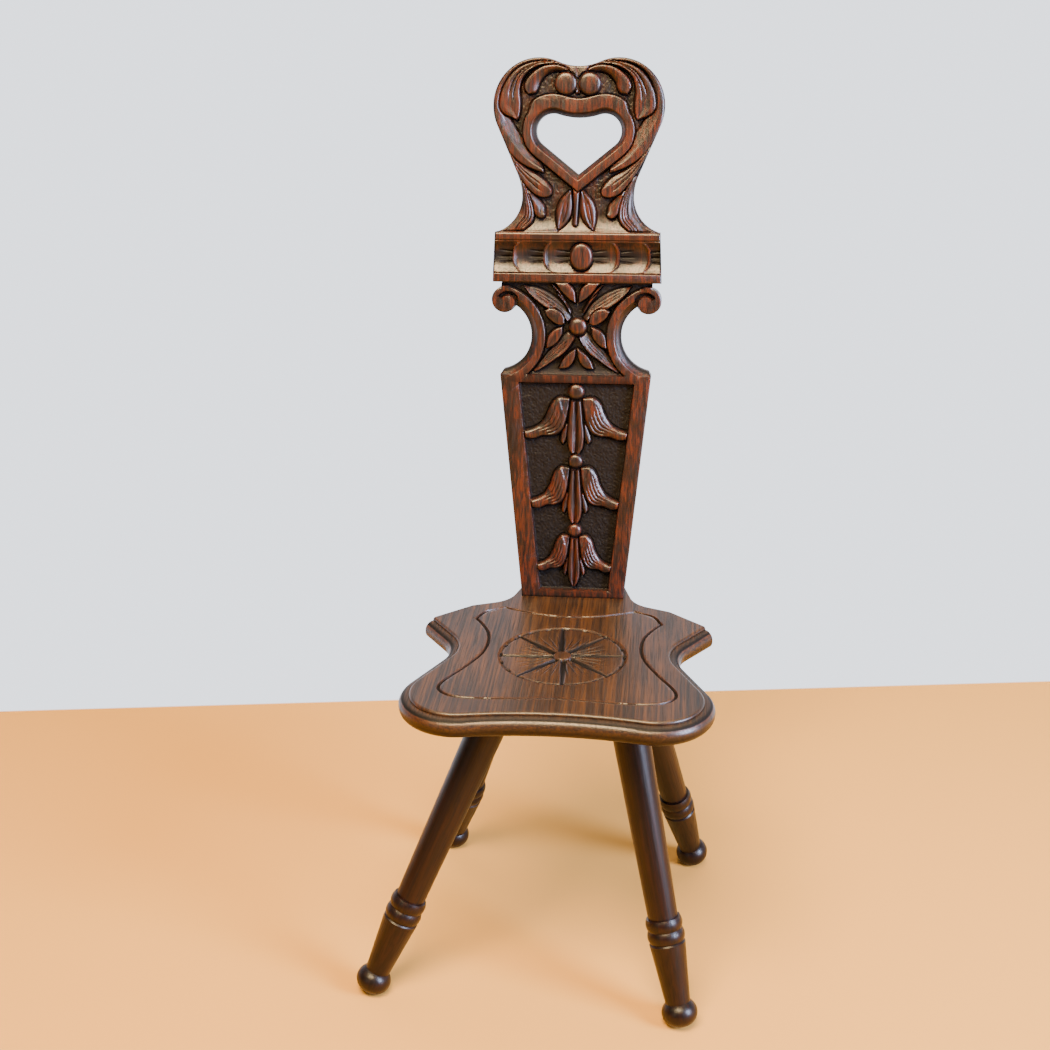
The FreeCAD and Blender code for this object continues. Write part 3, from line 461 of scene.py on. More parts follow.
def carve_frieze(relief):
    """A band of overlapping scooped coins on each side of an oval boss."""
    across, up = relief.points.T
    middle, centre, half = 5.0, 392.6, 16.6
    rise = np.clip((up - centre) / half, -1, 1)
    # Each coin ends in a raised, bowed lip, and the next one starts from under it.
    bow = 9.0
    out = np.abs(across - middle) + bow * np.abs(rise) ** 3
    lips = np.array([0.0, 42.5, 76.5, 112.0])
    cell = np.clip(np.searchsorted(lips, out, side="right") - 1, 0, 2)
    start, end = lips[cell], lips[cell + 1]
    share = np.clip((out - start) / (end - start), 0, 1)
    scoop = 1 - np.abs(rise) ** 1.7
    sunk = -0.4 - 6.8 * scoop * (1 - 0.55 * share ** 1.6)
    # Fine cuts fan out from under the boss and from under each lip.
    reach = share * (end - start) - np.where(cell == 0, 13.0, 0.0)
    fan = np.arctan2(rise * half, 26 + 0.6 * reach)
    cuts = np.clip(1 - np.abs(np.sin(fan * 16.0)) * 1.6, 0, 1)
    sunk -= 1.7 * cuts * (1 - ramp(reach, 9.0, 19.0)) * np.clip(1.7 - 2.4 * np.abs(rise), 0, 1)
    lip = ramp(share, 0.9, 0.94)
    sunk += lip * (-0.5 - 1.3 * scoop - sunk)
    relief.height[:] = sunk
    relief.ball((4.7, centre), 15.6, top=0.1, foot=-5.6, squat=0.82, crown=9)
    # A plain fillet runs above and below, with a line along it and a rounded edge.
    fillet = ramp(np.abs(up - centre), 16.4, 17.4)
    relief.height[:] = relief.height * (1 - fillet)
    line = np.abs(np.abs(up - centre) - 17.9)
    relief.height -= 1.2 * (1 - ramp(line, 0.0, 1.0))
    bead = np.minimum(np.abs(up - FRIEZE_HEAD), np.abs(up - FRIEZE_FOOT))
    relief.height -= 1.0 * (1 - ramp(bead, 0.0, 1.8))


def carve_straps(relief):
    """Two straps, sloped on their outer side, that each end in a curl round an eye."""
    across, up = np.abs(relief.points[:, 0]), relief.points[:, 1]
    width, slope_width = 16.0, 7.4
    strap = np.hypot(across - 90.5, up - 305.0) - 40.3
    inboard = across < 90
    band = (strap < width) & inboard
    relief.height[band] = -0.8 * ramp(strap[band], 14.8, width)
    relief.score(np.flatnonzero(inboard), strap[inboard] - width, depth=3.0)
    slope = band & (strap < slope_width)
    relief.height[slope] = -6.8 * (1 - strap[slope] / slope_width) ** 0.8
    curl = (np.hypot(across - 80.3, up - 345.0) < 15.5) & (up > 329)
    relief.height[curl] = 0.0
    # The groove between strap and eye runs round most of the eye.
    eye_radius, groove_half = 10.4, 2.4
    gap = np.stack([across - 76.5, up - 341.6])
    eye = np.abs(np.hypot(*gap) - eye_radius)
    turn = np.arctan2(gap[1], -gap[0])
    groove = curl & (eye < groove_half) & (turn > -0.9) & (turn < 2.6)
    relief.height[groove] = -5.4 * np.sqrt(1 - (eye[groove] / groove_half) ** 2)


def carve_scroll(relief):
    """A boss in a wreath of leaves, between two straps that end in volutes."""
    points = relief.points
    up = points[:, 1]
    marks = GOUGE_MARK * tool_marks(points, 2.0, 5) * ramp(up, 266, 280)
    relief.height += marks + 2.4 * (1 - ramp(up, 260, 276))
    middle = 1.0
    # Hollow veined leaves reach for the four corners.
    hollow = ((0, -5.2), (0.35, -3.6), (0.75, -1.2), (0.92, -0.2), (1, -0.6))
    veins = ((0.3, 0.1, 0.9), (0.5, 0.1, 0.85), (0.68, 0.15, 0.8))
    corner_leaves = (
        ([(6, 326), (16, 341), (30, 352), (46, 359), (60, 361)],
         [(10, 321), (18, 328), (31, 334), (43, 342), (53, 351), (60, 361)]),
        ([(11, 310), (21, 300), (31, 289), (41, 276), (50, 266)],
         [(1, 306), (6, 296), (14, 286), (25, 278), (36, 270.5), (47, 264.5)]),
    )
    for first, second in corner_leaves:
        relief.pair(relief.leaf, middle, first, second, section=hollow, veins=veins, cut=0.9)
    # Fine ridges lie beside the upper two.
    for knots in ([(28, 362), (19, 352), (7, 333)], [(22, 352), (14, 343), (7, 331)]):
        relief.pair(relief.strand, middle, knots, (0.6, 1.1, 0.7), top=-1.4, foot=-3.5)
    # Flat leaves fill the spaces between them.
    flat = ((0, -0.3), (0.5, 0.2), (1, -0.3))
    flat_leaves = (
        ([(24, 363.5), (18, 355), (10, 347), (1, 341)],
         [(24, 363.5), (16, 365), (8.5, 362), (3, 355), (1, 341)]),
        ([(37, 333), (30, 336), (21, 334), (14.5, 327), (13.5, 319)],
         [(37, 333), (33, 326), (26, 320), (19, 317), (13.5, 319)]),
        ([(16, 316), (24, 313), (30, 308), (33.5, 300), (34, 291)],
         [(16, 316), (17, 306), (22, 298), (28, 293), (34, 291)]),
        ([(0.5, 292), (9, 286), (16, 278), (20, 268)],
         [(0.5, 292), (1.5, 282), (5, 274), (11, 269), (20, 268)]),
    )
    for first, second in flat_leaves:
        relief.pair(relief.leaf, middle, first, second, section=flat)
    relief.ball((2.0, 315.5), 10.4, top=0.4, crown=3.4)
    carve_straps(relief)


# Each husk's height up the board, the radius of its ball, and its width and length against the first one's.
HUSKS = ((242.0, 9.4, 1.0, 1.0), (162.0, 8.7, 0.86, 1.02), (80.4, 8.2, 0.73, 0.9))


def carve_husk(relief, middle, ball, radius, wide, tall):
    """A ball over a grooved petal between two bell-shaped ones."""
    def place(*knots):
        return [(wide * x, ball + tall * s) for x, s in knots]

    relief.pair(relief.leaf, middle, place((8, -38), (9, -50), (14, -61)),
                place((12, -36), (17, -50), (17.5, -57), (14, -61)),
                section=((0, -2.6), (0.5, -1.4), (1, -3)))
    # A bell-shaped petal has a blunt, turned-up tip.
    relief.pair(
        relief.leaf, middle,
        place((7, -8), (8.5, -20), (11, -33), (17, -46), (26, -51), (38, -51.5), (48, -55), (57, -54)),
        place((8, -7), (19.5, -5.5), (28, -13), (33.5, -26), (40, -36), (49, -41.5), (59, -44.5)),
        section=((0, -1.8), (0.12, -0.2), (0.45, 0.6), (0.75, 0.1), (1, -2.8)),
        rise=((0, -3.2), (0.14, -0.6), (0.4, 0.2), (0.75, -0.9), (1, 0.6)),
        veins=((0.2, 0.3, 0.75), (0.38, 0.25, 0.78), (0.56, 0.25, 0.82), (0.74, 0.2, 0.8)), cut=1.1)
    # The middle petal has a deep groove down its front.
    relief.upright_leaf(
        middle, place((5.5, -8), (8, -33), (9.6, -52), (7.6, -66), (1.5, -75)),
        section=((0, -0.6), (0.15, 0.3), (0.3, 0.2), (0.5, -3.2), (0.7, 0.2), (0.85, 0.3), (1, -0.6)))
    relief.ball((middle, ball), radius, top=0.2, crown=3.6)


def panel_half(up):
    """Half the width of the sunk panel at a height up the board."""
    return SILL_HALF + (up - PANEL_SILL) * (LINTEL_HALF - SILL_HALF) / (PANEL_LINTEL - PANEL_SILL)


def carve_panel(relief):
    """Three husks, one below the other, in a sunk panel with a plain border."""
    points = relief.points
    across, up = points.T
    relief.height += GOUGE_MARK * tool_marks(points, 1.8, 7) + 0.5 * tool_marks(points, 6.0, 8) - 0.2
    middle = 1.2
    for husk in HUSKS:
        carve_husk(relief, middle, *husk)
    border = np.maximum(np.abs(across - middle) - panel_half(up),
                        np.maximum(up - PANEL_LINTEL, PANEL_SILL - up))
    lift = ramp(border, -1.2, 0.3)
    relief.height[:] = relief.height * (1 - lift)


def heart_distance(points, hole):
    """Distance from the hand-hold, kept pointed below the heart's tip."""
    found = loop_distance(points, hole)
    tip = hole[np.argmin(hole[:, 1])]
    side = hole[(np.argmin(hole[:, 1]) + 1) % len(hole)] - tip
    slope = math.atan2(side[1], abs(side[0]))
    gap = points - tip
    below = gap[:, 1] < 0
    pointed = np.abs(gap[:, 0]) * math.sin(slope) - gap[:, 1] * math.cos(slope)
    return np.where(below, np.maximum(pointed, 0), found)


def back_heights(points, outline, hole, ground):
    """Height of the carved face over its flat, in mm, at points across and up the board."""
    # Rounding puts a point of the outline in the same zone each time it is asked for.
    points = np.round(points, 2)
    rim = loop_distance(points, outline)
    up = points[:, 1]
    height = np.zeros(len(points))
    zones = (
        ((up > FRIEZE_FOOT) & (up <= FRIEZE_HEAD), carve_frieze),
        ((up > PANEL_HEAD) & (up <= FRIEZE_FOOT), carve_scroll),
        (up <= PANEL_HEAD, carve_panel),
    )
    for zone, carve in zones:
        relief = Relief(points[zone], ground)
        carve(relief)
        height[zone] = relief.height
    crest = up > FRIEZE_HEAD
    relief = Relief(points[crest], ground)
    carve_crest(relief, rim[crest], heart_distance(points[crest], hole))
    height[crest] = relief.height
    # The rim of the whole face is rounded off.
    return height - 0.8 * (1 - ramp(rim, 0.0, 1.5))


# Right half of the line cut round the seat, in mm from the rosette's middle:
# the front and the flank, the ear, and the arc in front of the back.
SEAT_LINES = (
    ((0, -98.5), (38, -102.5), (72, -105), (97, -104.5), (112, -99), (121.5, -87), (119, -70),
     (102, -38), (88, -6), (83.5, 20), (86, 48), (96, 72), (104, 85)),
    ((104, 86), (95, 106), (74, 117.5)),
    ((74, 117.5), (58, 110.5), (30, 101), (0, 97.5)),
)

# Radius of the rosette's plain middle disc, in mm.
DISC = 9.3


def beside_seat_lines(points, reach):
    """For each line of the seat, the numbers of the points near it and their distances from it."""
    mirrored = np.column_stack([np.abs(points[:, 0]), points[:, 1]])
    for knots in SEAT_LINES:
        path = smooth_path(knots)
        near = np.flatnonzero(np.all((mirrored > path.min(0) - reach)
                                     & (mirrored < path.max(0) + reach), axis=1))
        yield near, np.abs(along(mirrored[near], path)[1])


def rosette_cuts(reach, turn, radius, petals):
    """Height of the rosette's cuts, in mm, at points by their reach and turn from its middle."""
    share = np.clip((reach - DISC) / (radius - DISC), 0, 1)
    # Each petal line is a V with one steep and one gentle wall, widest at the middle disc.
    sector = 2 * math.pi / petals
    offset = reach * ((turn - 0.05) / sector % 1 * sector)
    back = reach * sector - offset
    gentle = 6.5 - 3.0 * share
    steep = 2.4 - 1.2 * share
    valley = np.maximum(np.clip(1 - offset / gentle, 0, 1), np.clip(1 - back / steep, 0, 1))
    cut = -0.9 - (3.4 - 1.6 * share) * valley
    # Gouge lines run out from the disc.
    gouge = np.clip(1 - 1.8 * np.abs(np.sin(turn * 16)), 0, 1)
    cut -= gouge * (1 - ramp(share, 0.35, 0.8))
    # A line runs round the rim, nicked by short stop cuts.
    rim_line = 2.2
    nick = np.clip(1 - np.abs(np.sin(turn * 10)) * 1.8, 0, 1)
    cut -= (0.7 + 2.2 * nick) * np.clip(1 - np.abs(reach - radius + rim_line) / rim_line, 0, 1)
    cut *= 1 - ramp(reach, radius - 0.4, radius + 1.0)
    cut *= ramp(reach, 9.0, 10.2)
    return cut


def seat_heights(points, settings):
    """Height of the seat's top over its flat, in mm, at points from the rosette's middle."""
    width = settings.groove_width / MM / 2
    depth = settings.groove_depth / MM
    height = np.zeros(len(points))
    for near, gap in beside_seat_lines(points, width):
        groove = -depth * np.sqrt(np.maximum(1 - (gap / width) ** 2, 0))
        height[near] = np.minimum(height[near], groove)
    radius = settings.rosette_radius / MM
    reach = np.hypot(*points.T)
    turn = np.arctan2(points[:, 1], points[:, 0])
    inside = reach < radius + 1.2
    height[inside] = rosette_cuts(reach[inside], turn[inside], radius, settings.petals)
    return height


class BoardFace:
    """A flat face of a board: its foot, and the ways up it and out of it. Across is the chair's own x."""

    def __init__(self, foot, up, out):
        self.foot = np.array(foot)
        self.up = np.array(up)
        self.out = np.array(out)

    def flatten(self, places):
        """Millimetres across and up the face."""
        gap = places - self.foot
        return np.column_stack([gap[:, 0], gap @ self.up]) / MM

    def height(self, places):
        """Millimetres out of the face."""
        return (places - self.foot) @ self.out / MM

    def raise_up(self, points, height):
        """Places over points of the face, at their heights."""
        place = self.foot + MM * (points[:, 1:] * self.up + height[:, None] * self.out)
        place[:, 0] += MM * points[:, 0]
        return place


def cad_copy(node, name):
    """A merged copy of a CAD node, as a new object that is alone selected and active."""
    bpy.ops.object.select_all(action="DESELECT")
    piece = bpy.data.objects.new(name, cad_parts[node].data.copy())
    piece.data.name = name
    bpy.context.scene.collection.objects.link(piece)
    piece.select_set(True)
    bpy.context.view_layer.objects.active = piece
    bpy.ops.object.mode_set(mode="EDIT")
    bpy.ops.mesh.select_all(action="SELECT")
    bpy.ops.mesh.customdata_custom_splitnormals_clear()
    bpy.ops.mesh.remove_doubles(threshold=0.002 * MM)
    bpy.ops.mesh.select_all(action="DESELECT")
    bpy.ops.object.mode_set(mode="OBJECT")
    return piece


def corners(mesh):
    """The mesh's points as rows of x, y and z."""
    places = np.empty(len(mesh.vertices) * 3)
    mesh.vertices.foreach_get("co", places)
    return places.reshape(-1, 3)


def drop_faces(piece, chosen):
    """Delete the faces of the active piece that have only chosen points."""
    faces = piece.data.polygons
    faces.foreach_set("select", [all(chosen[v] for v in face.vertices) for face in faces])
    bpy.ops.object.mode_set(mode="EDIT")
    bpy.ops.mesh.delete(type="FACE")
    bpy.ops.object.mode_set(mode="OBJECT")


def open_edges(mesh):
    """True for each edge that only one face uses."""
    edge_of = np.empty(len(mesh.loops), int)
    mesh.loops.foreach_get("edge_index", edge_of)
    return np.bincount(edge_of, minlength=len(mesh.edges)) == 1


def open_loops(mesh):
    """The point numbers round each opening of the mesh, in order."""
    beside = {}
    for number in np.flatnonzero(open_edges(mesh)):
        first, second = mesh.edges[int(number)].vertices
        beside.setdefault(first, []).append(second)
        beside.setdefault(second, []).append(first)
    loops = []
    while beside:
        loop = [min(beside)]
        while True:
            ahead = [point for point in beside.pop(loop[-1]) if point in beside]
            if not ahead:
                break
            loop.append(ahead[0])
        loops.append(loop)
    return loops


def split_long_edges(mesh):
    """Put points on the long straight edges of the openings, so that carving can cross them."""
    places = corners(mesh)
    ends = np.array([edge.vertices for edge in mesh.edges])
    span = np.linalg.norm(places[ends[:, 0]] - places[ends[:, 1]], axis=1)
    chosen = (span > 60 * MM) & open_edges(mesh)
    bpy.ops.object.mode_set(mode="EDIT")
    bpy.ops.mesh.select_mode(type="EDGE")
    bpy.ops.mesh.select_all(action="DESELECT")
    bpy.ops.object.mode_set(mode="OBJECT")
    mesh.edges.foreach_set("select", chosen)
    bpy.ops.object.mode_set(mode="EDIT")
    bpy.ops.mesh.subdivide(number_cuts=200)
    bpy.ops.object.mode_set(mode="OBJECT")


def grid_points(low, high, pitch, coarse):
    """A triangular grid over a box.

    Coarse gives 1 where every point is kept, 4 where every fourth row and column is, and 0 where none is.
    """
    rise = pitch * math.sqrt(3) / 2
    rows = np.arange(math.ceil((high[1] - low[1]) / rise))
    columns = np.arange(math.ceil((high[0] - low[0]) / pitch))
    column, row = [part.ravel() for part in np.meshgrid(columns, rows)]
    points = np.column_stack([low[0] + pitch * (column + 0.5 * (row % 2)), low[1] + rise * (row + 0.5)])
    step = coarse(points)
    keep = (step > 0) & (column % np.maximum(step, 1) == 0) & (row % np.maximum(step, 1) == 0)
    return points[keep]


def rows_along(knots, offsets, pitch):
    """Rows of points beside a smooth curve, at some offsets from it."""
    path = smooth_path(knots, 40)
    passed = run_length(path)
    spots = np.arange(0.3 * pitch, passed[-1], pitch)
    line = np.column_stack([np.interp(spots, passed, part) for part in path.T])
    ahead = np.gradient(line, axis=0)
    side = np.column_stack([-ahead[:, 1], ahead[:, 0]]) / np.hypot(*ahead.T)[:, None]
    return np.vstack([line + offset * side for offset in offsets])


def opening_lines(loops, flat):
    """The openings as closed lines without doubled points, the widest first."""
    lines = []
    for loop in loops:
        line = flat[loop]
        moved = np.hypot(*(line - np.roll(line, 1, axis=0)).T) > 0.01
        lines.append(line[moved])
    return sorted(lines, key=lambda line: -np.ptp(line[:, 0]))


def fill_triangles(outlines, inner):
    """Points and triangles between the widest line and the others, through the inner points."""
    rings = []
    start = 0
    for line in outlines:
        rings.append(list(range(start, start + len(line))))
        start += len(line)
    holes = [pair for ring in rings[1:] for pair in zip(ring, ring[1:] + ring[:1])]
    start_points = [Vector(point) for point in np.vstack(outlines + [inner])]
    points, _, faces, *_ = delaunay_2d_cdt(start_points, holes, rings[:1], 1, 1e-5)
    points = np.array(points)
    faces = np.array(faces)
    return points, faces[within(points[faces].mean(1), outlines)].tolist()


def join_face(piece, places, faces):
    """Join a carved face to the active piece along its edge, thin the piece and shade it."""
    patch_mesh = bpy.data.meshes.new(piece.name + "_face")
    patch_mesh.from_pydata(places.tolist(), [], faces)
    patch = bpy.data.objects.new(piece.name + "_face", patch_mesh)
    bpy.context.scene.collection.objects.link(patch)
    patch.select_set(True)
    bpy.ops.object.join()
    bpy.ops.object.mode_set(mode="EDIT")
    bpy.ops.mesh.select_all(action="SELECT")
    bpy.ops.mesh.remove_doubles(threshold=0.02 * MM)
    bpy.ops.mesh.normals_make_consistent(inside=False)
    bpy.ops.object.mode_set(mode="OBJECT")
    count = len(piece.data.polygons)
    if count > MOST_FACES:
        bpy.ops.object.modifier_add(type="DECIMATE")
        piece.modifiers[-1].ratio = MOST_FACES / count
        bpy.ops.object.modifier_apply(modifier=piece.modifiers[-1].name)
    bpy.ops.object.shade_smooth_by_angle(angle=math.radians(52))


def refill(piece, face, heights, coarse, pitch, rows=()):
    """Close the openings of a piece with one carved face."""
    mesh = piece.data
    split_long_edges(mesh)
    loops = open_loops(mesh)
    places = corners(mesh)
    flat = face.flatten(places)
    outlines = opening_lines(loops, flat)
    edge = [number for loop in loops for number in loop]
    places[edge] = face.raise_up(flat[edge], heights(flat[edge], outlines))
    mesh.vertices.foreach_set("co", places.ravel())
    inner = grid_points(np.min(outlines[0], axis=0), np.max(outlines[0], axis=0), pitch, coarse)
    inner = np.vstack([inner, *rows])
    inner = inner[within(inner, outlines)]
    clear = np.min([loop_distance(inner, line, 2.0) for line in outlines], axis=0) > 0.45 * pitch
    points, faces = fill_triangles(outlines, inner[clear])
    join_face(piece, face.raise_up(points, heights(points, outlines)), faces)


def mark_wear_and_shade(piece, depth, face_ground, tilt, dusty=1.0):
    """Store how hollow, worn and dusty each point of a carved piece is, for its material; hollow carries
    painted shade.
    """
    mesh = piece.data
    places = corners(mesh)
    ends = np.empty(len(mesh.edges) * 2, int)
    mesh.edges.foreach_get("vertices", ends)
    first, second = ends.reshape(-1, 2).T
    count = np.bincount(ends, minlength=len(places))
    # Each point is compared with those near it; far ones, as on thinned flats, hardly count.
    nearness = 1.6 * MM
    pull = np.exp(-(np.linalg.norm(places[first] - places[second], axis=1) / nearness) ** 2)
    blurred = depth.copy()
    passes = 6
    for _ in range(passes):
        step = pull * (blurred[second] - blurred[first])
        total = np.bincount(first, step, len(places)) - np.bincount(second, step, len(places))
        blurred += 0.7 * total / np.maximum(count, 1)
    # Points this far below or above those round them, in mm, are wholly hollow or wholly worn.
    full_hollow, full_worn = 1.1, 0.8
    # Hollow points are painted dark in the material, as the shade that falls in creases and recesses.
    hollow = np.clip((blurred - depth) / full_hollow, 0, 1)
    # Faces that look down more than the tilt get almost as much painted shade as hollows do.
    facing = np.empty(len(places) * 3)
    mesh.vertices.foreach_get("normal", facing)
    hollow = np.maximum(hollow, 0.85 * np.clip((tilt - facing[2::3]) / 0.4, 0, 1))
    # Hands rub what stands high, and dust lies on what is nearly as low as the ground.
    worn = np.clip((depth - blurred) / full_worn, 0, 1) * np.clip(1 + depth / (0.6 * face_ground), 0, 1)
    ground = dusty * np.clip((-depth / face_ground - 0.45) / 0.35, 0, 1)
    for name, values in (("hollow", hollow), ("worn", worn), ("ground", ground)):
        layer = mesh.attributes.new(name, "FLOAT", "POINT")
        layer.data.foreach_set("value", values.astype(np.float32))


def add_node(tree, kind, settings=None, links=None):
    """Add a node to a material, set its values and sockets, and link sockets to it."""
    node = tree.nodes.new(kind)
    for name, value in (settings or {}).items():
        if isinstance(name, str) and hasattr(node, name):
            setattr(node, name, value)
        else:
            node.inputs[name].default_value = value
    for name, source in (links or {}).items():
        tree.links.new(source, node.inputs[name])
    return node


def shade_ramp(node, stops):
    """Give a colour ramp its stops, as places and linear colours."""
    band = node.color_ramp
    while len(band.elements) < len(stops):
        band.elements.new(0.5)
    for element, (place, colour) in zip(band.elements, stops):
        element.position = place
        element.color = (*colour, 1.0)


def oak_grain(tree, place, grain):
    """Streaks and pore lines along the grain of oak, as two outputs from 0 to 1."""
    # The pattern is turned so that its third axis runs along the grain, and squeezed across it.
    turned = add_node(tree, "ShaderNodeMapping", {"Rotation": grain}, {"Vector": place}).outputs["Vector"]
    fields = []
    # Growth streaks are about 3 mm wide and 110 mm long.
    # Open pores are 0.3 mm wide in oak; drawn 1.5 mm wide and 40 mm long so that they show.
    for width, length, roughness, waver in ((3, 110, 0.6, 0.4), (1.5, 40, 0.5, 0.0)):
        scale = (1 / (width * MM), 1 / (width * MM), 1 / (length * MM))
        squeezed = add_node(tree, "ShaderNodeMapping", {"Scale": scale}, {"Vector": turned})
        noise = {"Scale": 1.0, "Detail": 2.0, "Roughness": roughness, "Distortion": waver}
        field = add_node(tree, "ShaderNodeTexNoise", noise, {"Vector": squeezed.outputs["Vector"]})
        fields.append(field.outputs["Fac"])
    streak, pore = fields
    line = add_node(tree, "ShaderNodeMapRange", {"From Min": 0.37, "From Max": 0.5}, {"Value": pore})
    return streak, line.outputs["Result"]


def stained_tone(tree, place, streak, pore_line, tones, bold, oak):
    """Colour of stained oak: streaks between its tones, dark pores and patches of deeper stain."""
    # Patches of deeper stain are about 90 mm across.
    patch = add_node(tree, "ShaderNodeTexNoise", {"Scale": 1 / (90 * MM), "Detail": 3.0, "Roughness": 0.6},
                     {"Vector": place}).outputs["Fac"]
    tone = add_node(tree, "ShaderNodeMix", {"data_type": "FLOAT", 0: 0.3}, {2: streak, 3: patch}).outputs[0]
    colour = add_node(tree, "ShaderNodeValToRGB", {}, {"Fac": tone})
    spread = 0.13 / bold
    brown, russet = tones
    shade_ramp(colour, ((0.5 - 1.4 * spread, oak.dark), (0.5 - 0.3 * spread, brown),
                        (0.5 + 0.8 * spread, russet)))
    stain = add_node(tree, "ShaderNodeMix", {"data_type": "RGBA", 7: (1, 1, 1, 1), 6: (*oak.dark, 1)},
                     {0: pore_line}).outputs[2]
    return add_node(tree, "ShaderNodeMix", {"data_type": "RGBA", "blend_type": "MULTIPLY", 0: 0.65 * bold},
                    {6: colour.outputs["Color"], 7: stain}).outputs[2]


def waxed_oak(name, grain, tones, bold, shine, oak, carved=False):
    """Dark-stained oak, waxed and rubbed for generations.

    The eye gets long open pores along the grain, soft streaks of stain, painted shade that makes hollows
    and faces that look down almost black, orange wood on rubbed edges, and a gloss that breaks up in the
    pores.
    Bold sharpens the streaks, tones are its brown and its russet, and shine is how much light the wax throws
    back.
    """
    material = bpy.data.materials.new(name)
    material.use_nodes = True
    tree = material.node_tree
    tree.nodes.clear()
    place = add_node(tree, "ShaderNodeTexCoord").outputs["Object"]
    streak, pore_line = oak_grain(tree, place, grain)
    colour = stained_tone(tree, place, streak, pore_line, tones, bold, oak)
    # The wax lies smooth between the pores and dull in them.
    gloss = add_node(tree, "ShaderNodeMapRange", {"To Min": oak.polish + 0.12, "To Max": oak.polish},
                     {"Value": pore_line}).outputs["Result"]
    grain_height = add_node(tree, "ShaderNodeMix", {"data_type": "FLOAT", 0: 0.4},
                            {2: pore_line, 3: streak}).outputs[0]
    bump = add_node(tree, "ShaderNodeBump", {"Strength": 0.3, "Distance": 0.3 * MM},
                    {"Height": grain_height}).outputs["Normal"]
    coat = 0.3 * shine
    shader = add_node(tree, "ShaderNodeBsdfPrincipled",
                      {"IOR": 1.5, "Specular IOR Level": shine, "Coat Weight": coat, "Coat Roughness": 0.25},
                      {"Normal": bump})
    if carved:
        marks = [add_node(tree, "ShaderNodeAttribute", {"attribute_name": mark}).outputs["Fac"]
                 for mark in ("worn", "hollow", "ground")]
        worn, hollow, ground = marks
        # Rubbed edges show a quarter of the bare wood at most, and hollows are painted almost wholly dark as
        # shade.
        rubbed = add_node(tree, "ShaderNodeMath", {"operation": "MULTIPLY", 1: 0.24}, {0: worn}).outputs[0]
        deep = add_node(tree, "ShaderNodeMath", {"operation": "MULTIPLY", 1: 0.9}, {0: hollow}).outputs[0]
        for tone, share in ((oak.worn, rubbed), (oak.dust, ground), (oak.dark, deep)):
            colour = add_node(tree, "ShaderNodeMix", {"data_type": "RGBA", 7: (*tone, 1)},
                              {0: share, 6: colour}).outputs[2]
        gloss = add_node(tree, "ShaderNodeMath", {"operation": "MULTIPLY_ADD", 1: 0.22},
                         {0: ground, 2: gloss}).outputs[0]
        # Wax is dull where dust lies and where shade is painted.
        dust_and_shade = add_node(tree, "ShaderNodeMath", {"operation": "MAXIMUM"}, {0: ground, 1: hollow}).outputs[0]
        for socket, full in (("Specular IOR Level", shine), ("Coat Weight", coat)):
            fading = {"To Min": full, "To Max": 0.3 * full}
            left = add_node(tree, "ShaderNodeMapRange", fading, {"Value": dust_and_shade}).outputs["Result"]
            tree.links.new(left, shader.inputs[socket])
    tree.links.new(colour, shader.inputs["Base Color"])
    tree.links.new(gloss, shader.inputs["Roughness"])
    add_node(tree, "ShaderNodeOutputMaterial", {}, {"Surface": shader.outputs["BSDF"]})
    return material


def dress(piece, material):
    """Give a piece its material and its body."""
    piece.data.materials.clear()
    piece.data.materials.append(material)
    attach(piece, "root")


def finish_node(name, material):
    """Give a CAD node a material in place of its plain one."""
    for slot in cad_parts[name].material_slots:
        slot.material = material


class CHAIR_OT_back(bpy.types.Operator):
    """Carve the back board: crest with a heart, frieze, straps and the panel of husks"""

    bl_idname = "chair.carve_back"
    bl_label = "Carve back"
    bl_options = {"REGISTER", "UNDO"}

    def execute(self, context):
        settings = context.scene.chair.back
        lean = settings.rake
        ground = settings.ground / MM
        face = BoardFace((MEDIAN, SEAT_HIGH.y - settings.setback, SEAT_TOP),
                         (0, math.sin(lean), math.cos(lean)), (0, -math.cos(lean), math.sin(lean)))

        def coarse(points):
            # The plain borders of the panel need few points.
            up = points[:, 1]
            plain = (np.abs(points[:, 0]) > panel_half(up) + 4) & (up < 258) | (up < 4)
            return np.where(plain, 4, 1)

        def heights(points, outlines):
            outline, hole = outlines[:2]
            return back_heights(points, outline, hole, ground)

        piece = cad_copy("back_board", "back_board_carved")
        places = corners(piece.data)
        # The old front reaches from its flat down to the sunk grounds, all above the seat.
        drop_faces(piece, (face.height(places) > -7.5) & (face.flatten(places)[:, 1] > -0.5))
        refill(piece, face, heights, coarse, settings.grid / MM)
        places = corners(piece.data)
        out = face.height(places)
        # Points deeper than any cut are on the other sides of the board, which don't count as carved.
        deepest_cut = -9
        depth = np.where(out > deepest_cut, out, 0.0)
        # Only the carved side gets painted shade on faces that look down.
        tilt = np.where(depth != 0, 0.0, -2.0)
        # The crest's ground gets less of the dark dust tone than the grounds below it.
        dusty = np.where(face.flatten(places)[:, 1] > FRIEZE_HEAD, 0.62, 1.0)
        mark_wear_and_shade(piece, depth, ground, tilt, dusty)
        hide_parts("back_board")
        oak = context.scene.chair.oak
        oak_back = waxed_oak("carved_waxed_oak_back", grain=(0, 0, 0), tones=(oak.brown, oak.russet),
                             bold=1.3, shine=0.5, oak=oak, carved=True)
        dress(piece, oak_back)
        return {"FINISHED"}


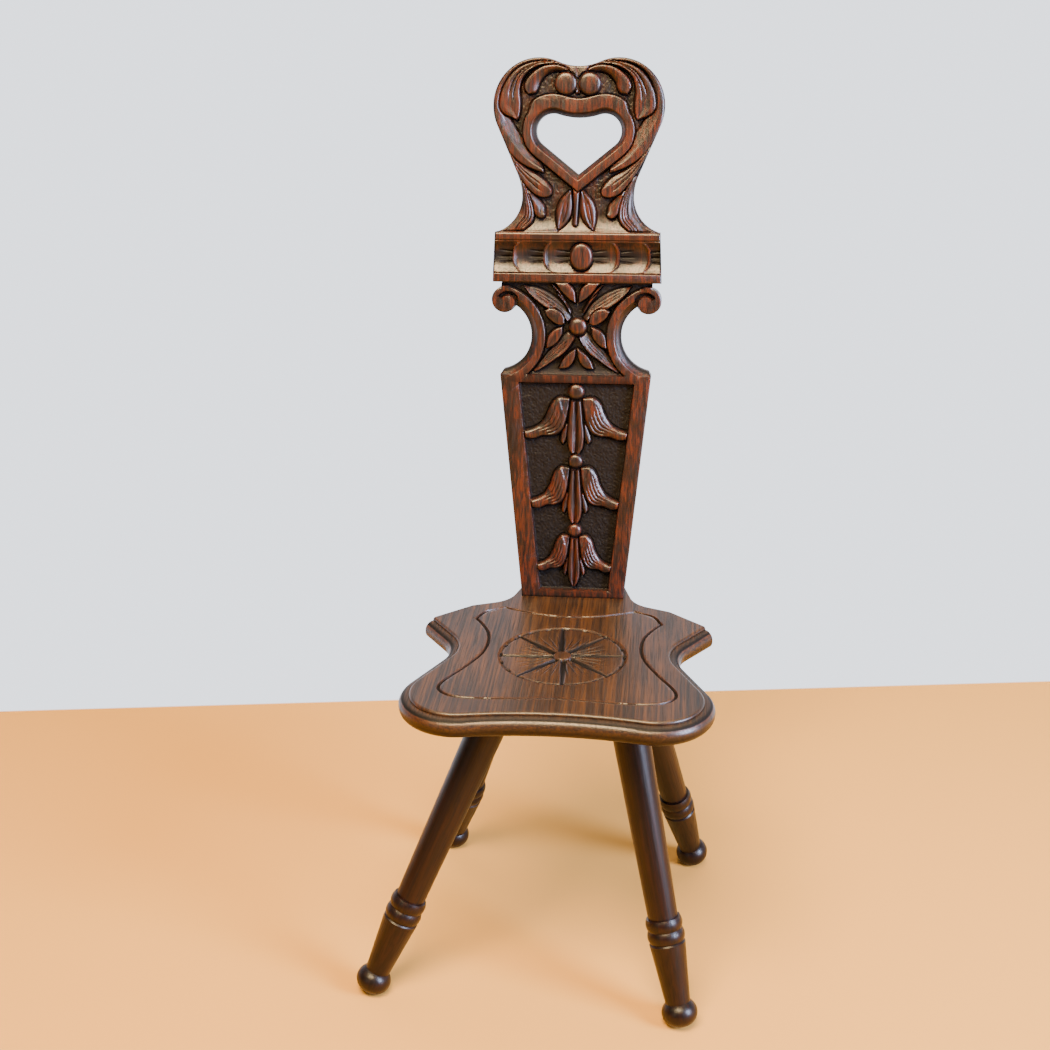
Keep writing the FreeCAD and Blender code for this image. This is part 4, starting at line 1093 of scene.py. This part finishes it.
class CHAIR_OT_seat(bpy.types.Operator):
    """Cut the rosette and the line round the seat into both seat boards"""

    bl_idname = "chair.carve_seat"
    bl_label = "Carve seat"
    bl_options = {"REGISTER", "UNDO"}

    def execute(self, context):
        settings = context.scene.chair.seat
        face = BoardFace((MEDIAN, SEAT_LOW.y + settings.rosette_setback, SEAT_TOP), (0, 1, 0), (0, 0, 1))
        half = settings.groove_width / MM / 2
        # Rows of points follow the line, from its bottom to just past its edges.
        offsets = half * np.array([-1.2, -1.0, -0.75, -0.4, 0.0, 0.4, 0.75, 1.0, 1.2])
        right = np.vstack([rows_along(knots, offsets, 1.2) for knots in SEAT_LINES])

        def heights(points, outlines):
            return seat_heights(points, settings)

        def coarse(points):
            # The rosette gets the whole grid, the flat round it little of it, and the line has its own rows.
            step = np.where(np.hypot(*points.T) < settings.rosette_radius / MM + 3, 1, 4)
            for near, gap in beside_seat_lines(points, 4):
                step[near[gap < 1.4 * half]] = 0
            return step

        oak = context.scene.chair.oak
        oak_seat = waxed_oak("waxed_oak_seat", grain=(math.radians(90), 0, 0),
                             tones=(oak.seat_brown, oak.seat_russet), bold=0.8, shine=0.45,
                             oak=oak, carved=True)
        for node in ("seat_board_wide", "seat_board_narrow"):
            piece = cad_copy(node, node + "_carved")
            drop_faces(piece, np.abs(corners(piece.data)[:, 2] - SEAT_TOP) < 0.01 * MM)
            refill(piece, face, heights, coarse, settings.grid / MM, rows=(right, right * (-1, 1)))
            places = corners(piece.data)
            out = face.height(places)
            # The moulding round the edge counts as shallower than the cuts, so it gets less dark dust and
            # painted shade.
            cut = seat_heights(face.flatten(places), settings) < 0
            deepest_cut = -6
            depth = np.where(out > deepest_cut, np.where(cut, out, 0.4 * out), 0.0)
            # Seat faces steeper than the tilt, as on the moulding's sides, get painted shade.
            mark_wear_and_shade(piece, depth, settings.groove_depth / MM, tilt=0.25)
            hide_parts(node)
            dress(piece, oak_seat)
        return {"FINISHED"}


class CHAIR_OT_legs(bpy.types.Operator):
    """Stain and wax the turned legs"""

    bl_idname = "chair.finish_legs"
    bl_label = "Finish legs"
    bl_options = {"REGISTER", "UNDO"}

    def execute(self, context):
        oak = context.scene.chair.oak
        for name in LEGS:
            places = corners(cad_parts[name].data)
            # The grain follows the leg's own length.
            length = Vector(np.linalg.svd(places - places.mean(0), full_matrices=False)[2][0])
            grain = length.rotation_difference(Vector((0, 0, 1))).to_euler()
            oak_leg = waxed_oak("turned_waxed_oak_" + name, grain, tones=(oak.leg_brown, oak.leg_russet),
                                bold=0.9, shine=0.25, oak=oak)
            finish_node(name, oak_leg)
        return {"FINISHED"}


class CHAIR_OT_joints(bpy.types.Operator):
    """Finish the key, dowels and wedges of the hidden joints"""

    bl_idname = "chair.finish_joints"
    bl_label = "Finish joints"
    bl_options = {"REGISTER", "UNDO"}

    def execute(self, context):
        oak = context.scene.chair.oak
        oak_joint = waxed_oak("plain_oak_joints", grain=(0, 0, 0), tones=(oak.seat_brown, oak.seat_russet),
                              bold=0.7, shine=0.3, oak=oak)
        for name in HIDDEN_JOINTS:
            finish_node(name, oak_joint)
        return {"FINISHED"}


def area_light(name, place, target, size, watts, colour):
    """A large soft lamp that faces a point of the chair."""
    lamp = bpy.data.lights.new(name, "AREA")
    lamp.shape = "RECTANGLE"
    lamp.size, lamp.size_y = size
    lamp.energy = watts
    lamp.color = linear(colour)
    holder = bpy.data.objects.new(name, lamp)
    bpy.context.scene.collection.objects.link(holder)
    holder.location = place
    holder.rotation_euler = (Vector(target) - Vector(place)).to_track_quat("-Z", "Y").to_euler()


def dull_felt(studio):
    """Dull felt for the floor, with a pale ground behind it that only glows, so that no horizon shows."""
    felt = bpy.data.materials.new("plain_pale_floor")
    felt.use_nodes = True
    tree = felt.node_tree
    shader = tree.nodes["Principled BSDF"]
    shader.inputs["Roughness"].default_value = 0.95
    shader.inputs["Specular IOR Level"].default_value = 0.0
    shader.inputs["Emission Color"].default_value = (*studio.wall, 1)
    place = add_node(tree, "ShaderNodeTexCoord").outputs["Object"]
    turned = add_node(tree, "ShaderNodeMapping", {"Rotation": (0, 0, -studio.floor_turn)}, {"Vector": place})
    rear = add_node(tree, "ShaderNodeSeparateXYZ", {}, {"Vector": turned.outputs["Vector"]}).outputs["Y"]
    edge = {"From Min": studio.floor_depth, "From Max": studio.floor_depth + 4 * MM}
    beyond = add_node(tree, "ShaderNodeMapRange", edge, {"Value": rear}).outputs["Result"]
    colour = add_node(tree, "ShaderNodeMix", {"data_type": "RGBA", 6: (*studio.floor, 1), 7: (0, 0, 0, 1)},
                      {0: beyond}).outputs[2]
    tree.links.new(colour, shader.inputs["Base Color"])
    glow = add_node(tree, "ShaderNodeMapRange", {**edge, "To Max": studio.glow}, {"Value": rear})
    tree.links.new(glow.outputs["Result"], shader.inputs["Emission Strength"])
    return felt


def room_light(studio):
    """Light all round, pale low behind the chair, and dim in front and above to keep the wax deep."""
    world = bpy.data.worlds.new("pale_room_light")
    world.use_nodes = True
    tree = world.node_tree
    way = add_node(tree, "ShaderNodeTexCoord").outputs["Generated"]
    parts = add_node(tree, "ShaderNodeSeparateXYZ", {}, {"Vector": way}).outputs
    to_rear = {"From Min": -0.1, "From Max": 0.8, "To Min": 0.13, "To Max": studio.glow}
    behind = add_node(tree, "ShaderNodeMapRange", to_rear, {"Value": parts["Y"]}).outputs["Result"]
    to_top = {"From Min": 0.1, "From Max": 0.45, "To Min": 1.0, "To Max": 0.35}
    above = add_node(tree, "ShaderNodeMapRange", to_top, {"Value": parts["Z"]}).outputs["Result"]
    glow = add_node(tree, "ShaderNodeMath", {"operation": "MULTIPLY"}, {0: behind, 1: above}).outputs[0]
    background = tree.nodes["Background"]
    background.inputs["Color"].default_value = (*studio.wall, 1)
    tree.links.new(glow, background.inputs["Strength"])
    return world


def photo_camera(studio, rosette):
    """A camera where the photo was taken, placed from the rosette's middle on the floor."""
    lens = bpy.data.cameras.new("photo_camera")
    lens.sensor_width = 36.0
    lens.lens = studio.lens
    camera = bpy.data.objects.new("photo_camera", lens)
    bpy.context.scene.collection.objects.link(camera)
    ahead = Vector((-math.sin(studio.yaw) * math.cos(studio.pitch),
                    math.cos(studio.yaw) * math.cos(studio.pitch), -math.sin(studio.pitch)))
    level = Vector((math.cos(studio.yaw), math.sin(studio.yaw), 0))
    above = level.cross(ahead)
    right = math.cos(studio.roll) * level + math.sin(studio.roll) * above
    top = -math.sin(studio.roll) * level + math.cos(studio.roll) * above
    turn = Matrix((right, top, -ahead)).transposed().to_4x4()
    camera.matrix_world = Matrix.Translation(rosette + Vector(studio.stand)) @ turn
    return camera


class CHAIR_OT_stage(bpy.types.Operator):
    """Lay the pale floor, hang the soft lights and stand the camera where the photo was taken"""

    bl_idname = "chair.set_stage"
    bl_label = "Set stage"
    bl_options = {"REGISTER", "UNDO"}

    def execute(self, context):
        studio = context.scene.chair.studio
        bpy.ops.object.select_all(action="DESELECT")
        bpy.ops.mesh.primitive_plane_add(size=14.0)
        floor = context.active_object
        floor.name = "pale_floor"
        floor.data.materials.append(dull_felt(studio))
        context.scene.world = room_light(studio)
        middle = (MEDIAN, 0.0, 0.5)
        area_light("window_right", (2.4, -1.2, 1.4), middle, (1.0, 1.6), 340, "#cfdcff")
        area_light("ceiling_soft", (-0.3, -1.3, 2.6), middle, (1.6, 1.2), 300, "#ffdda6")
        area_light("ceiling_rear", (0.1, 0.8, 2.4), middle, (2.0, 1.2), 40, "#ffe2b0")
        area_light("front_left_soft", (-1.8, -2.6, 1.2), middle, (1.2, 1.2), 8, "#fff2e2")
        rosette = Vector((MEDIAN, SEAT_LOW.y + context.scene.chair.seat.rosette_setback, 0))
        context.scene.camera = photo_camera(studio, rosette)
        return {"FINISHED"}


class CHAIR_PT_panel(bpy.types.Panel):
    """The chair's pieces, its finish and its stage"""

    bl_idname = "CHAIR_PT_panel"
    bl_label = "Carved oak chair"
    bl_space_type = "VIEW_3D"
    bl_region_type = "UI"
    bl_category = "Chair"

    def draw(self, context):
        for operator in OPERATORS:
            self.layout.operator(operator.bl_idname)
        chair = context.scene.chair
        for group in (chair.back, chair.seat, chair.oak, chair.studio):
            box = self.layout.box()
            for name in group.bl_rna.properties.keys():
                if name not in ("rna_type", "name"):
                    box.prop(group, name)


OPERATORS = (CHAIR_OT_back, CHAIR_OT_seat, CHAIR_OT_legs, CHAIR_OT_joints, CHAIR_OT_stage)
CLASSES = (BackCarving, SeatCarving, OakFinish, Studio, ChairSettings, *OPERATORS, CHAIR_PT_panel)


def register():
    for kind in CLASSES:
        bpy.utils.register_class(kind)
    bpy.types.Scene.chair = bpy.props.PointerProperty(type=ChairSettings)


def unregister():
    del bpy.types.Scene.chair
    for kind in reversed(CLASSES):
        bpy.utils.unregister_class(kind)


def main():
    register()
    bpy.ops.chair.carve_back()
    bpy.ops.chair.carve_seat()
    bpy.ops.chair.finish_legs()
    bpy.ops.chair.finish_joints()
    bpy.ops.chair.set_stage()


if __name__ == "__main__":
    main()
